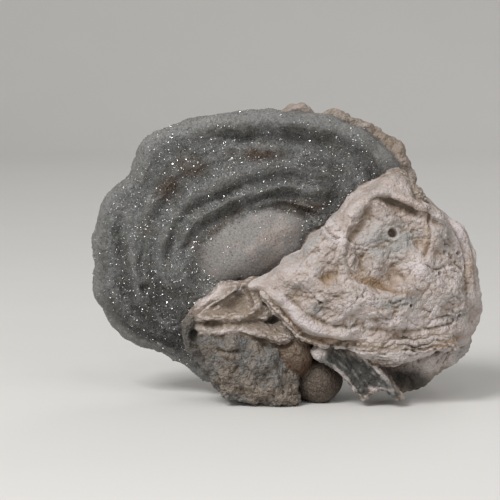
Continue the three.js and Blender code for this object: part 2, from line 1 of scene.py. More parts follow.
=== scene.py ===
"""A chalcedony rose: a rippled grey blade with a druse on it, which curls over into a crusted petal.

The stone is worked out in millimetres, in the layout of its solid, and is then brought into the
frame: metres, X to the viewer's right, Y away from the viewer and Z up.
"""

import math
from dataclasses import dataclass, field, replace

import bpy
import numpy as np
from bpy.props import FloatProperty, FloatVectorProperty, IntProperty, PointerProperty
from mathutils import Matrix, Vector


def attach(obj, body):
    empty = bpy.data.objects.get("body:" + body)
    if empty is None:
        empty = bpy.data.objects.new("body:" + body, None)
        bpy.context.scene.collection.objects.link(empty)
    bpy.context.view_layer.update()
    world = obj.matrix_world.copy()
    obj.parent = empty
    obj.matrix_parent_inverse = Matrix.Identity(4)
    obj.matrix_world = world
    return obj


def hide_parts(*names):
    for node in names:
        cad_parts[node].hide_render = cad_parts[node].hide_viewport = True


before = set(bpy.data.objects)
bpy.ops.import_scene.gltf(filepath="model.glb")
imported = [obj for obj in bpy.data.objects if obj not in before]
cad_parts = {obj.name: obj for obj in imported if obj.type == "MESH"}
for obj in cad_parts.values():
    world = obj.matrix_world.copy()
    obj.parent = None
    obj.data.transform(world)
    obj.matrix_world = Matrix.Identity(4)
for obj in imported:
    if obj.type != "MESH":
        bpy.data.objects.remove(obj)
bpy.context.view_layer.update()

bl_info = {
    "name": "Chalcedony Rose",
    "version": (1, 0, 0),
    "blender": (4, 5, 0),
    "location": "View3D > Sidebar > Rose",
    "description": "A chalcedony rose with its druse, and a pale stage to show it on",
    "category": "Add Mesh",
}

NODE = "chalcedony_rose"
MILLIMETRE = 0.001

# The middle of the stone's box in the layout, in millimetres
MIDDLE = np.array([0.2, 0.3, 0.0])

# The photograph's frame in millimetres: its width at the stone, the point in its middle, the
# camera's distance, its height as an angle, and the width of its sensor; and the nearest that it
# sees, in metres
VIEW_WIDTH = 100.0
VIEW_MIDDLE = (-7.2, 0.0, 30.4)
VIEW_DISTANCE = 430.0
VIEW_ELEVATION = math.radians(6.5)
SENSOR = 36.0
NEAREST = 0.01


@dataclass(frozen=True)
class Petal:
    """A closed sheet. Its rings start at the heart and end at the outline, both as (x, z). Its
    middle surface has the depth `middle` at the heart, leans and bends, and the sheet reaches
    `front` towards the viewer and `back` away from the viewer."""

    kind: str
    outline: tuple
    heart: tuple
    middle: float
    front: float
    back: float
    power: float
    rough: tuple
    lean: tuple = (0.0, 0.0)
    bends: tuple = ()
    ragged: float = 0.0


@dataclass(frozen=True)
class Fold:
    """An oval section carried along a path of (x, y, z)."""

    path: tuple
    wide: float
    high: float
    kind: str = "cream"


@dataclass(frozen=True)
class Dome:
    """An ellipsoid with gentle hills."""

    kind: str
    centre: tuple
    radii: tuple
    rough: tuple


@dataclass(frozen=True)
class Line:
    """A ridge along points (x, z) of a face, or a groove if its depth is negative."""

    points: tuple
    depth: float
    width: float


BLADE = Petal(
    kind="druse",
    outline=(
        (22.4, 47.1), (19.8, 50.9), (16.4, 53.9), (10.8, 56.5), (3.8, 57.9), (-3.6, 58.5),
        (-11.2, 57.9), (-18.2, 56.7), (-24.2, 54.9), (-28.6, 51.9), (-30.6, 48.5), (-31.6, 45.3),
        (-34.6, 42.9), (-37.2, 39.4), (-38.6, 34.5), (-39.2, 28.1), (-38.8, 21.7), (-37.0, 16.1),
        (-33.6, 12.1), (-29.2, 9.7), (-24.2, 7.9), (-19.2, 4.9), (-15.0, 2.6), (-9.0, 2.0),
        (1.0, 3.5), (11.0, 7.0), (21.0, 13.0), (28.6, 22.0), (30.6, 32.0), (27.0, 40.5),
    ),
    heart=(-6.8, 31.2), middle=3.6,
    bends=(((-1, 0), 10, 0.0042), ((0, -1), -24, 0.006), ((0, 1), 36, -0.0035)),
    front=3.6, back=3.0, power=3.2, rough=(0.2, 8),
)

CRUST = Petal(
    kind="crust",
    outline=(
        (-7.2, 23.9), (-4.8, 25.9), (-1.4, 28.0), (1.8, 30.2), (4.4, 32.9), (7.0, 35.5),
        (9.6, 38.3), (12.4, 40.8), (14.8, 43.0), (17.4, 44.4), (20.4, 45.8), (22.8, 46.0),
        (25.2, 43.4), (28.6, 40.2), (32.2, 37.4), (35.4, 34.4), (37.4, 31.0), (38.6, 26.3),
        (39.2, 21.0), (38.6, 16.6), (37.4, 13.6), (35.6, 12.1), (32.4, 11.3), (27.6, 10.7),
        (22.6, 11.1), (17.4, 11.7), (12.0, 12.6), (7.6, 12.5), (4.2, 13.2), (1.2, 15.2),
        (-1.4, 17.8), (-3.4, 20.9), (-5.0, 22.8),
    ),
    heart=(19.2, 31.0), middle=-3.9, lean=(0.16, 0.12),
    bends=(((1, 0), 16, 0.0072), ((-1, 0), -16, 0.0072)),
    front=6.2, back=11, power=2.7, rough=(0.32, 6),
)

FOOT = Petal(
    kind="gnarl",
    outline=(
        (-19.4, 13.6), (-16.4, 14.4), (-13.8, 14.5), (-11.6, 15.4), (-9.4, 15.3), (-7.4, 14.3),
        (-5.4, 13.1), (-3.0, 11.7), (-1.0, 10.1), (0.8, 7.8), (2.2, 4.6), (2.7, 1.2), (0.6, -0.4),
        (-4.8, -0.5), (-7.8, 0.6), (-11.6, 1.6), (-13.8, 3.4), (-16.2, 6.6), (-17.8, 9.4),
        (-19.2, 11.4),
    ),
    heart=(-8.4, 7.8), middle=-6.0, lean=(0, -0.06), front=3.4, back=8, power=3, rough=(0.38, 4.6),
)

RIND = Petal(
    kind="rind",
    outline=(
        (-11.6, 57.2), (-9.6, 58.3), (-7.4, 57.2), (-3.2, 57.5), (-0.4, 58.3), (1.8, 59.1),
        (4.0, 58.7), (6.4, 57.3), (9.0, 57.6), (11.6, 57.7), (14.0, 56.6), (16.6, 55.6),
        (18.8, 53.8), (21.4, 52.3), (23.6, 50.1), (25.2, 47.5), (26.2, 44.6), (26.8, 40.6),
        (28.4, 34.0), (29.0, 24.0), (23.0, 13.0), (12.0, 6.5), (0.0, 3.4), (-12.0, 4.4),
        (-22.0, 9.4), (-30.0, 15.0), (-34.6, 23.0), (-35.4, 33.0), (-31.0, 43.0), (-26.0, 50.6),
        (-18.4, 55.4),
    ),
    heart=(-3.0, 30.0), middle=5.5, bends=BLADE.bends, front=2.2, back=2.3, power=4.2, rough=(0.3, 8),
)

KEEL = Petal(
    kind="rind",
    outline=(
        (37.2, 12.6), (37.0, 10.2), (35.4, 8.2), (33.2, 6.9), (31.2, 5.9), (29.6, 4.7),
        (27.4, 3.3), (24.6, 2.2), (22.0, 1.8), (17.6, 3.6), (11.6, 7.8), (10.0, 13.0),
        (16.0, 17.0), (27.0, 19.0), (35.0, 17.0),
    ),
    heart=(24.6, 9.6), middle=0.7, lean=(0.1, 0.2), front=3.6, back=6, power=3.4, rough=(0.25, 6),
)

LIP = Petal(
    kind="cream",
    outline=(
        (9.4, 12.4), (13.6, 10.7), (15.8, 9.6), (18.6, 8.2), (22.0, 8.0), (25.2, 9.2),
        (28.6, 10.6), (34.0, 11.6), (30.0, 15.0), (20.0, 16.0),
    ),
    heart=(21.0, 12.0), middle=-7.0, lean=(0.1, 0.1), front=2.4, back=4, power=3, rough=(0.25, 6),
)

FIN = Petal(
    kind="fracture",
    outline=(
        (5.2, 11.4), (7.2, 12.7), (9.8, 13.5), (12.4, 13.2), (14.4, 11.4), (16.6, 9.0), (19.4, 6.9),
        (21.4, 4.5), (23.0, 1.9), (22.0, 1.2), (20.6, 2.5), (18.6, 3.2), (16.6, 2.6), (15.2, 1.2),
        (13.6, 2.8), (11.8, 5.2), (9.8, 7.0), (7.6, 8.4), (5.6, 9.4),
    ),
    heart=(13.2, 8.0), middle=-5.8, lean=(0, 0.12), front=1.9, back=4.6, power=7, rough=(0.18, 3),
)

TONGUE = Petal(
    kind="cream",
    outline=(
        (19.2, 44.4), (20.2, 46.3), (22.8, 46.6), (24.6, 44.9), (27.0, 42.2), (28.6, 40.2),
        (26.0, 39.6), (22.2, 41.2),
    ),
    heart=(23.4, 43.2), middle=-2.2, lean=(0, 0.12), front=2.0, back=4, power=3.4, rough=(0.2, 5),
)

WEB = Petal(
    kind="cream",
    outline=(
        (-19.8, 17.0), (-19.2, 18.8), (-17.2, 20.8), (-14.8, 22.8), (-12.0, 24.4), (-8.8, 24.9),
        (-4.0, 25.2), (1.0, 22.6), (4.6, 17.6), (5.0, 13.4), (2.4, 11.4), (-1.0, 10.8),
        (-5.0, 11.2), (-9.2, 12.2), (-12.4, 12.0), (-16.0, 11.8), (-18.6, 12.6), (-19.8, 14.8),
    ),
    heart=(-7.4, 17.2), middle=-3.4, front=3.8, back=4, power=3.4, rough=(0.15, 5),
)

# The terraces on the back, as the share of the rind's outline, its move by (x, z), the depth of
# its middle and how ragged its rim is, and the form that they have in common
TERRACES = (
    (0.83, (1.4, -1.6), 7.3, 0.7),
    (0.6, (4.2, -3.4), 9.2, 0.9),
    (0.36, (1.0, -2.0), 11.2, 0.8),
)
TERRACE_FORM = {"front": 3.2, "back": 2.4, "power": 2.5, "rough": (0.5, 7.5)}

# A ragged rim has waves of these counts round it
RAGGED_WAVES = (7, 12)

# Folds: the foot's outer shell, the border under the crusted petal and the roll at its top
FOLDS = (
    Fold(((-18.6, -6.2, 18.6), (-19.7, -6.0, 16.6), (-19.7, -6.0, 13.6), (-18.5, -6.0, 10.8),
          (-16.8, -6.0, 8.4), (-15.2, -6.0, 5.6)), 1.1, 1.7, "gnarl"),
    Fold(((-5.4, -7.6, 23.2), (-2.6, -8.4, 20.0), (0.6, -8.6, 16.6), (4.0, -8.4, 13.8),
          (8.6, -7.8, 12.4)), 0.8, 1.5),
    Fold(((17.8, -3.6, 43.2), (21.6, -5.0, 41.8), (25.0, -5.4, 40.0), (28.6, -4.8, 38.2),
          (31.6, -3.6, 36.6)), 1.5, 2.4, "crust"),
)
FOLD_ROUGH = (0.15, 3.5)
FOLD_BLUNT = 6
FOLD_LEAST_ROUND = 12

# The smooth knob, the bud and the heel behind the knob
DOMES = (
    Dome("knob", (6.4, -1.0, 4.2), (4.9, 5.2, 4.65), (0.1, 6)),
    Dome("bud", (1.3, -4.3, 10.1), (4.1, 3.7, 4.9), (0.1, 5)),
    Dome("rind", (1.0, 9.0, 7.4), (10.5, 4.6, 7.9), (0.45, 6.5)),
)

# The blade's eye, with its half lengths, its turn and its height
EYE_LONG = 11.6
EYE_SHORT = 6.2
EYE_TURN = math.radians(27)
EYE_HEIGHT = 1.5

# Ripples from the eye, at 0, to the rim, at 1: place, width, height, the direction in degrees in
# which each is strongest, and the share of its height that it loses on the opposite side
RIPPLES = (
    (0.05, 0.06, -0.9, 125, 0.9),
    (0.62, 0.06, 0.5, 185, 0.9),
    (0.9, 0.1, 1.7, 66, 0.75),
)

# The share of a line over which it fades at each end
TAPER = 0.14

# Ridges and grooves on the blade's face
BLADE_LINES = (
    Line(((-16.4, 51.4), (-12.2, 53.0), (-8.2, 52.8), (-4.2, 53.5), (-0.2, 53.0), (3.8, 52.4),
          (9.8, 51.2), (14.8, 48.2), (18.8, 44.4), (21.0, 41.0)), -2.2, 1.5),
    Line(((-25.0, 28.0), (-24.4, 33.2), (-22.8, 37.4), (-20.0, 40.2), (-15.4, 42.6), (-12.2, 44.2),
          (-8.2, 45.9), (-4.2, 46.9), (1.8, 47.3), (6.8, 46.3), (10.8, 43.5)), 0.8, 1.6),
    Line(((-23.4, 24.6), (-23.4, 30.6), (-22.4, 34.6), (-19.8, 37.6), (-17.4, 39.2), (-15.0, 40.4),
          (-12.0, 41.9), (-8.2, 43.6), (-4.2, 44.7), (0.8, 45.1), (5.8, 44.5)), -0.7, 0.9),
    Line(((-20.4, 30.6), (-19.6, 34.0), (-16.6, 37.2), (-13.0, 39.2), (-10.4, 40.8), (-7.0, 42.1),
          (-3.6, 42.9), (0.8, 43.2), (6.0, 42.5), (9.0, 40.4)), 1.1, 1.15),
    Line(((-20.4, 26.4), (-19.8, 30.6), (-18.2, 33.4), (-15.6, 35.8), (-12.6, 37.4), (-10.0, 38.9),
          (-7.6, 40.2), (-4.2, 41.2), (0.8, 41.6), (6.0, 41.0)), -1.1, 1.0),
    Line(((-7.2, 39.0), (-3.2, 40.2), (0.4, 40.5), (4.0, 40.1), (7.6, 38.6)), 0.6, 0.8),
    Line(((-11.2, 36.0), (-6.4, 37.9), (-1.8, 39.2), (2.8, 39.2), (7.2, 37.6)), -0.8, 0.9),
    Line(((-24.6, 17.6), (-26.2, 23.0), (-26.8, 29.6), (-26.4, 34.6), (-24.8, 38.8), (-21.0, 43.0)),
         -0.45, 0.9),
    Line(((-30.0, 44.0), (-31.4, 37.6), (-31.4, 31.0), (-30.4, 25.6), (-26.8, 18.5)), 0.5, 1.6),
    Line(((-31.6, 42.0), (-33.8, 34.0), (-33.6, 28.0), (-31.8, 22.4), (-28.4, 17.2), (-23.2, 13.0)),
         -0.6, 1.0),
    Line(((-37.6, 18.6), (-34.6, 14.9), (-30.2, 12.9), (-25.0, 10.9), (-20.0, 8.6)), -0.8, 1.0),
    Line(((-22.6, 50.0), (-17.0, 49.4), (-10.4, 50.0), (-4.4, 50.2)), -0.5, 0.8),
)

# Swellings of the blade as (x, z, half width, height): the two lobes of the eye, and the field
BLADE_LUMPS = (
    (-9.6, 29.6, 5.6, 0.7), (0.6, 34.2, 3.4, 1.1), (-27.2, 40.4, 1.6, 0.5), (-27.6, 46.6, 1.6, 0.4),
    (-28.6, 24.2, 1.8, 0.5), (-23.6, 47.6, 2.2, 0.4), (-28.2, 22.4, 0.9, -0.7), (-33.0, 19.6, 2.4, 0.4),
    (-3.0, 49.6, 2.0, 0.4), (3.0, 49.4, 1.8, 0.4), (-21.4, 24.0, 2.4, 0.4),
)

# The ripples wander: how far, over what length, and how much their height changes
WANDER = 0.35
WANDER_LENGTH = 11.0
SURGE = 0.3
SURGE_LENGTH = 23.0

# Folds of the web, its pocket and the hole beside it
WEB_LINES = (
    Line(((-21.0, 15.6), (-19.6, 18.0), (-17.6, 20.2), (-15.4, 22.2), (-13.0, 23.8), (-10.0, 24.5),
          (-7.4, 24.0)), 1.3, 1.0),
    Line(((-14.6, 20.4), (-12.6, 21.7), (-10.6, 22.8), (-8.4, 23.9)), 1.4, 0.8),
    Line(((-21.0, 17.6), (-17.6, 17.9), (-14.6, 17.9), (-11.2, 18.1), (-7.8, 18.5), (-5.8, 19.8),
          (-4.6, 22.0)), 1.7, 0.95),
    Line(((-18.0, 16.6), (-14.4, 16.5), (-10.4, 16.6), (-6.8, 16.9), (-3.4, 16.7), (-0.4, 17.0)), -1.1, 0.4),
    Line(((-19.6, 15.2), (-16.6, 15.0), (-14.0, 14.9), (-11.2, 15.5), (-7.8, 15.2), (-4.6, 14.5),
          (-1.2, 13.9), (3.6, 13.4)), 2.0, 1.35),
)
WEB_LUMPS = (
    (-9.0, 21.2, 2.2, -1.2), (-6.2, 20.0, 2.2, -0.9), (-11.4, 19.8, 1.6, -0.8), (-2.2, 17.3, 1.3, -2.8),
)

# The fin's rind and the hollows of its broken face
FIN_LINES = (
    Line(((4.0, 10.2), (6.2, 11.6), (8.6, 12.6), (11.6, 12.7), (13.4, 11.6), (15.4, 9.4), (18.2, 7.0),
          (20.2, 4.9), (22.4, 2.0), (23.4, 0.6)), 1.1, 0.85),
    Line(((5.4, 9.6), (8.0, 8.8), (10.6, 7.0), (12.8, 4.6), (15.2, 1.6)), 0.5, 0.5),
    Line(((8.6, 10.4), (12.0, 8.8), (15.6, 6.2), (18.4, 4.6)), -0.5, 1.6),
    Line(((15.2, 1.2), (16.8, 3.6), (18.8, 4.2), (20.8, 3.2), (22.2, 1.4)), 0.6, 0.4),
)

# The lip falls back downwards by a slope, as (from, to, rise), in thin pages, each with its lower
# edge proud of the next. The pages have waves along the lip, as (height, rate, start), and droop
# to both sides of a place in X, by a rate
LIP_SLOPE = (7.8, 11.7, 1.8)
LIP_SUNK = 1.4
PAGE_HIGH = 1.05
PAGE_PROUD = 1.0
PAGE_EDGE = 0.08
PAGE_WAVES = ((0.3, 0.8, 0.0), (0.12, 2.3, 1.0))
PAGE_DROOP = (17.0, 0.07)

# The line on the keel below which its lower facet falls back, how far, and over what height
KEEL_EDGE = ((16.0, 8.4), (23.0, 7.2), (30.4, 5.0))
KEEL_FALL = 2.2
KEEL_FACET = 3.2

# The basin in the crusted petal: middle, half lengths, depth and where its wall starts and ends,
# the lip round its top, as (place, width, height), and where in Z that lip starts and is full
BASIN_MIDDLE = (20.0, 32.4)
BASIN_RADII = (7.8, 9.0)
BASIN_DEPTH = 1.7
BASIN_WALL = (0.7, 1.12)
BASIN_LIP = (1.16, 0.15, 1.2)
BASIN_LIP_FROM = (27.0, 38.0)

# The shelf under the basin: its level, how it sags to both sides of its middle, its height, and
# where it fades towards the rim
SHELF_LEVEL = (25.2, 21.6)
SHELF_SAG = 0.25
SHELF_MIDDLE = 19.0
SHELF_HEIGHT = 1.3
SHELF_FADE = (1.0, 0.6)

# Lumps as (x, z, half width, height)
CRUST_LUMPS = (
    (26.0, 28.4, 3.0, 1.5), (30.6, 35.0, 2.6, 1.0), (13.2, 37.6, 2.4, 0.9), (6.4, 28.6, 3.4, 0.8),
    (33.4, 24.0, 3.0, 0.8), (8.0, 20.4, 3.6, 0.8), (20.0, 16.8, 4.4, 0.8), (31.0, 16.0, 3.4, 0.8),
)
FOOT_LUMPS = (
    (-10.4, 12.8, 2.6, 1.1), (-4.4, 9.6, 2.4, 0.9), (-13.6, 6.6, 2.6, 0.9), (-2.6, 3.4, 2.6, 1.0),
    (-8.0, 4.6, 2.2, 0.7), (-15.6, 10.6, 1.8, 0.6),
)

# Pits in the crust, as (x, z, half width). They fall to their depth between two shares of the half
# width, and have a raised ring, as (height, place, width), the last two in half widths
PITS = (
    (20.9, 34.6, 0.85), (34.4, 17.8, 0.4), (34.2, 30.2, 0.45), (6.6, 21.4, 0.4), (24.4, 20.6, 0.35),
    (30.4, 26.8, 0.35),
)
PIT_DEPTH = 1.3
PIT_WALL = (0.6, 1.15)
PIT_RING = (0.25, 1.5, 0.4)

# Creases and smooth raised bands in the crust and the folds
CREASES = (
    Line(((18.4, 42.4), (16.6, 39.6), (14.8, 36.4), (12.6, 33.2), (11.6, 29.8), (13.0, 27.0),
          (16.6, 25.2), (20.4, 24.0), (24.8, 23.2)), -0.5, 0.6),
    Line(((15.2, 41.6), (18.6, 41.2), (22.2, 39.9), (25.2, 38.5), (29.4, 37.6)), -0.8, 0.55),
    Line(((28.0, 38.6), (28.0, 34.6), (27.4, 31.6), (26.6, 29.6)), -0.6, 0.4),
    Line(((26.6, 29.8), (28.4, 28.0), (31.4, 27.4)), -0.3, 0.3),
    Line(((-5.6, 23.0), (-3.6, 20.2), (-0.6, 17.2), (3.4, 14.6), (8.0, 13.6), (14.0, 13.4)), -0.5, 0.4),
    Line(((-6.4, 23.8), (-2.2, 22.4), (0.6, 19.6), (3.4, 17.2), (7.6, 15.4), (14.0, 14.6)), 0.8, 0.95),
    Line(((-1.6, 23.6), (1.6, 21.0), (4.6, 18.6), (8.6, 17.0), (13.6, 16.8), (21.6, 18.6)), -0.45, 0.5),
    Line(((13.0, 16.6), (20.0, 15.4), (27.0, 15.4), (34.0, 17.2), (38.4, 19.8)), -0.4, 0.45),
    Line(((15.0, 14.0), (22.0, 13.2), (29.0, 13.6), (35.4, 15.2), (38.0, 17.0)), 0.5, 0.75),
    Line(((29.6, 39.0), (33.8, 34.6), (35.8, 29.0), (36.0, 21.0)), -0.6, 0.35),
    Line(((31.2, 38.8), (35.2, 34.6), (36.9, 29.0), (37.0, 22.0)), 0.35, 0.4),
    Line(((32.6, 38.0), (36.0, 33.8), (37.7, 28.6), (37.9, 22.0)), -0.45, 0.28),
    Line(((29.0, 35.6), (30.8, 34.0), (31.6, 31.0)), -0.35, 0.3),
    Line(((-1.0, 26.4), (3.0, 27.6), (7.0, 26.6), (10.6, 27.8)), -0.45, 0.5),
    Line(((5.0, 24.0), (10.0, 22.6), (15.6, 22.8)), -0.35, 0.45),
    Line(((-9.0, 25.0), (-10.0, 22.8), (-12.4, 21.0), (-15.6, 19.4)), -0.8, 0.35),
    Line(((-18.6, 18.4), (-15.8, 20.2), (-13.0, 22.2)), -0.6, 0.3),
    Line(((-8.8, 24.4), (-7.2, 21.8), (-6.8, 19.6)), -0.5, 0.35),
    Line(((-10.4, 15.4), (-5.0, 13.4), (-0.8, 11.9), (1.6, 13.4), (3.2, 15.2)), -0.5, 0.25),
    Line(((-14.2, 12.0), (-11.6, 11.3), (-8.6, 11.7)), -0.9, 0.4),
    Line(((-18.4, 15.6), (-18.2, 11.8), (-16.2, 8.4)), -0.9, 0.45),
    Line(((-2.8, 37.6), (-2.6, 33.4), (-0.8, 31.2)), -0.25, 1.2),
    Line(((33.1, 12.2), (32.2, 9.0), (31.0, 6.0)), -0.5, 0.25),
    Line(((15.6, 42.2), (19.0, 42.6), (22.6, 41.4), (27.0, 39.6)), 0.6, 0.8),
)

# The feathery fringe at the crusted petal's upper left edge: its strokes run from a row of places
# (x, z) by a way, each a ridge of the given height and width. A stroke's middle stands at two
# shares of its way, along X and Z, and its reach differs by a share, in half waves along the row
FRINGE = (((10.0, 33.0), (6.2, 36.8)), (-2.4, 1.0), 9, 0.7, 0.25)
FRINGE_BEND = (0.5, 0.4)
FRINGE_UNEVEN = (0.35, 7)

# Where the fine relief is calm, as (x, z, half width, half height, turn in degrees, strength)
CALM = (
    (22.0, 43.6, 5.0, 2.0, -35, 0.8), (30.6, 37.0, 2.4, 2.2, 0, 0.7), (34.0, 33.4, 2.0, 4.0, 20, 0.7),
    (2.2, 19.2, 1.6, 6.0, 48, 0.8), (8.6, 15.4, 6.0, 1.2, -12, 0.6), (27.0, 13.6, 9.0, 1.2, 6, 0.6),
    (20.0, 41.6, 6.0, 1.4, -20, 0.6), (26.0, 28.0, 2.4, 2.0, 0, 0.5), (-8.0, 14.6, 9.0, 2.0, 0, 0.4),
    (-10.0, 20.6, 7.0, 3.4, 15, 0.65), (12.0, 19.4, 5.0, 1.8, 0, 0.35),
)

# Soft stains on the faces, and patches of painted light and shade, as (x, z, half width, half
# height, turn in degrees, strength)
STAINS_AND_PAINTED_LIGHT = {
    # Rust-brown stains, and a painted brown shadow along the eye's upper left edge
    "rust_and_shadow": (
        (-18.6, 47.3, 3.4, 2.0, -10, 1.0), (-23.6, 42.7, 2.6, 3.2, -40, 0.9), (-5.0, 49.7, 4.8, 1.4, 0, 1.0),
        (2.8, 39.4, 5.0, 0.9, 0, 0.9), (-28.2, 22.6, 1.7, 0.8, 0, 0.8), (-30.8, 45.7, 1.2, 1.4, 0, 0.4),
        (-27.6, 36.0, 1.6, 4.0, 10, 0.35), (8.0, 26.2, 1.3, 1.7, -40, 0.8), (16.8, 25.6, 3.6, 0.9, -28, 1.0),
        (22.8, 23.4, 3.4, 0.7, -5, 0.7), (27.4, 33.7, 0.7, 4.4, 0, 0.7), (24.6, 40.0, 4.0, 0.8, -25, 0.8),
        (36.9, 27.3, 0.8, 3.4, 0, 0.8), (0.6, 17.4, 0.9, 5.2, 42, 0.9), (9.0, 13.2, 5.4, 0.8, 0, 0.8),
        (18.0, 12.0, 4.0, 1.0, 0, 0.6), (1.2, 8.0, 2.6, 1.8, 0, 0.9), (-10.0, 18.2, 6.0, 0.9, 3, 0.5),
        (31.0, 12.6, 6.0, 0.7, 10, 1.0), (14.0, 30.0, 2.0, 3.0, 0, 0.3), (4.4, 38.2, 3.4, 1.4, -8, 0.7),
        (-12.8, 35.4, 5.4, 1.0, 38, 0.8), (-18.0, 30.6, 1.2, 3.6, 0, 0.4),
    ),
    # Dark grey stains, and painted shade where faces lie under others or turn from the light: in the groove
    # under the rolled rim, on the blade's lower left and on the keel's lower facet
    "deep": (
        (-26.0, 17.0, 11.0, 5.4, -32, 1.0), (7.6, 47.4, 7.0, 2.6, -8, 0.5), (3.0, 44.0, 5.0, 1.6, 0, 0.35),
        (1.0, 52.6, 11.0, 1.0, -3, 0.7), (-33.0, 15.4, 6.5, 2.4, -22, 0.8), (-20.6, 10.5, 5.0, 2.2, -30, 1.0),
        (-27.2, 18.5, 5.4, 0.9, -38, 0.5), (9.0, 41.2, 1.8, 3.4, -10, 0.8), (-20.6, 22.8, 3.4, 2.6, 0, 0.4),
        (-33.6, 31.0, 0.8, 6.0, 0, 0.4), (-22.8, 32.0, 0.7, 4.0, 0, 0.5), (-15.6, 35.8, 4.4, 0.9, 38, 0.5),
        (-3.0, 44.6, 5.0, 0.8, 8, 0.4), (14.4, 27.7, 1.3, 0.7, -25, 0.6), (24.6, 4.6, 5.4, 2.8, -14, 1.0),
        (-18.2, 12.4, 0.7, 2.6, 8, 0.8), (-9.6, 22.6, 1.0, 1.4, 0, 0.7), (-3.2, 16.9, 2.0, 0.8, 0, 0.9),
        (1.8, 5.6, 1.6, 1.2, 0, 0.7), (-22.0, 40.6, 3.0, 0.7, 48, 0.3), (-37.2, 28.5, 1.4, 9.0, 0, 0.45),
    ),
    # Pale stains, and painted light where the lip and the keel's upper facet face the light
    "pale": (
        (-9.0, 56.2, 18.0, 1.5, 0, 0.5), (-27.2, 40.2, 1.2, 1.5, 0, 0.7), (-27.6, 46.6, 1.3, 1.2, 0, 0.6),
        (-11.4, 44.4, 7.0, 1.0, 27, 0.5), (-0.8, 47.0, 5.0, 1.1, 0, 0.5), (-13.0, 39.2, 4.4, 0.8, 35, 0.7),
        (-14.8, 22.9, 4.4, 1.6, 38, 0.9), (-31.2, 31.0, 1.2, 7.0, 0, 0.35), (7.2, 36.1, 2.4, 1.3, 15, 1.0),
        (9.8, 33.7, 1.6, 2.2, 0, 0.8), (25.8, 27.9, 2.2, 1.6, 0, 0.9), (33.4, 35.6, 1.6, 3.2, 25, 1.0),
        (30.2, 37.6, 1.8, 1.6, 0, 0.7), (19.4, 43.4, 3.4, 1.0, -20, 0.3), (0.6, 21.0, 0.9, 4.2, 40, 0.8),
        (5.4, 16.6, 3.4, 0.9, -28, 0.8), (13.2, 20.0, 3.2, 1.3, 0, 0.5), (35.2, 31.0, 1.2, 4.0, 8, 0.6),
        (-11.4, 15.3, 6.6, 0.8, 0, 0.4), (16.0, 33.0, 3.0, 1.4, 20, 0.3), (34.6, 9.0, 1.6, 1.8, 0, 0.7),
        (-4.0, 3.0, 4.0, 1.6, 0, 0.4), (-13.6, 6.6, 2.4, 1.4, -30, 0.4), (20.0, 10.6, 9.0, 1.3, -2, 1.0),
        (28.8, 8.6, 5.4, 3.4, 10, 1.0), (24.0, 17.4, 9.0, 2.2, 0, 0.45), (4.6, 27.4, 3.0, 3.0, 0, 0.4),
        (6.4, 10.6, 1.6, 1.2, 20, 0.8), (10.0, 13.0, 2.6, 0.5, 8, 1.0), (14.6, 10.9, 2.2, 0.5, -44, 1.0),
        (18.6, 6.9, 3.4, 0.45, -42, 0.9), (18.4, 3.7, 2.8, 0.45, 0, 0.9), (11.8, 5.6, 4.0, 0.4, -48, 0.7),
        (-8.6, 3.6, 5.0, 1.8, -10, 0.6), (-2.0, 2.6, 3.0, 1.8, 0, 0.5), (36.0, 12.4, 2.0, 3.0, 0, 0.6),
    ),
    "blue": (
        (2.8, 56.4, 12.0, 1.6, -4, 0.7), (-35.0, 32.6, 1.2, 8.0, 0, 0.4), (-14.2, 51.2, 4.4, 1.2, 8, 0.6),
        (12.8, 52.6, 7.0, 2.0, -28, 0.7), (-32.2, 22.5, 2.4, 3.4, 0, 0.5), (-20.6, 29.6, 1.2, 4.4, 0, 0.5),
        (21.8, 21.4, 5.0, 1.4, 0, 0.9), (1.8, 23.6, 1.4, 1.6, 0, 0.7), (5.8, 20.0, 1.8, 1.3, 0, 0.8),
        (33.8, 18.0, 4.0, 1.2, 8, 0.7), (22.8, 33.0, 3.4, 1.6, 15, 0.9), (18.8, 33.0, 5.0, 5.0, 0, 0.7),
        (11.8, 17.0, 3.4, 1.0, 0, 0.4),
        (27.4, 12.8, 7.0, 0.9, 5, 0.6), (3.0, 33.4, 3.0, 5.0, -40, 1.0), (-3.4, 27.4, 3.0, 1.2, 30, 0.7),
        (-10.6, 12.8, 3.0, 1.8, 0, 0.7), (-6.0, 8.4, 3.2, 2.2, 0, 0.5), (31.6, 33.4, 1.6, 3.0, 0, 0.6),
        (33.4, 22.0, 3.0, 1.6, 20, 0.5),
        (-9.0, 5.0, 4.0, 1.6, 0, 0.4), (35.2, 9.8, 1.5, 2.8, -20, 0.8), (-29.0, 37.0, 3.4, 2.6, 30, 0.5),
        (-17.6, 44.4, 3.4, 1.8, 20, 0.5), (13.0, 46.4, 3.0, 2.0, -30, 0.4),
    ),
}

# How the finishes of the stone are kept on its points: attribute and channel
KINDS = {
    "druse": (0, 0), "crust": (0, 1), "gnarl": (0, 2), "fracture": (0, 3),
    "knob": (1, 0), "bud": (1, 1), "cream": (1, 2), "rind": (1, 3),
}
FINISH_NAMES = ("finish_a", "finish_b")

# Other attributes: the place from the eye, the reach and whether a point is on a petal's face; the
# near and the broad hollows and the way up, from which painted shade and painted highlights are
# placed; and the stains with the patches of painted light and shade
GROWTH_NAME = "growth"
SHAPE_NAME = "shape"
STAIN_AND_LIGHT_NAME = "stain_and_light"

# The small lights that make the crystals glint: how many, the angle between neighbours, their
# heights above the horizon in turn, their distance, their size and their power
GLINT_COUNT = 11
GLINT_TURN = math.radians(11)
GLINT_RISE = tuple(math.radians(angle) for angle in (38, 18, 52, 28))
GLINT_DISTANCE = 0.75
GLINT_SIZE = 0.036
GLINT_WATTS = 0.18

# The lamps, as place, size and power, the point that every light faces, and the room's light
LAMPS = {"key": ((-0.38, -0.44, 0.6), 0.3, 5.0), "rim": ((0.3, 0.7, 0.5), 0.4, 0.9)}
LIT_POINT = (0.0, 0.0, 0.03)
ROOM_COLOUR = (1.0, 0.985, 0.96)
ROOM_STRENGTH = 0.42

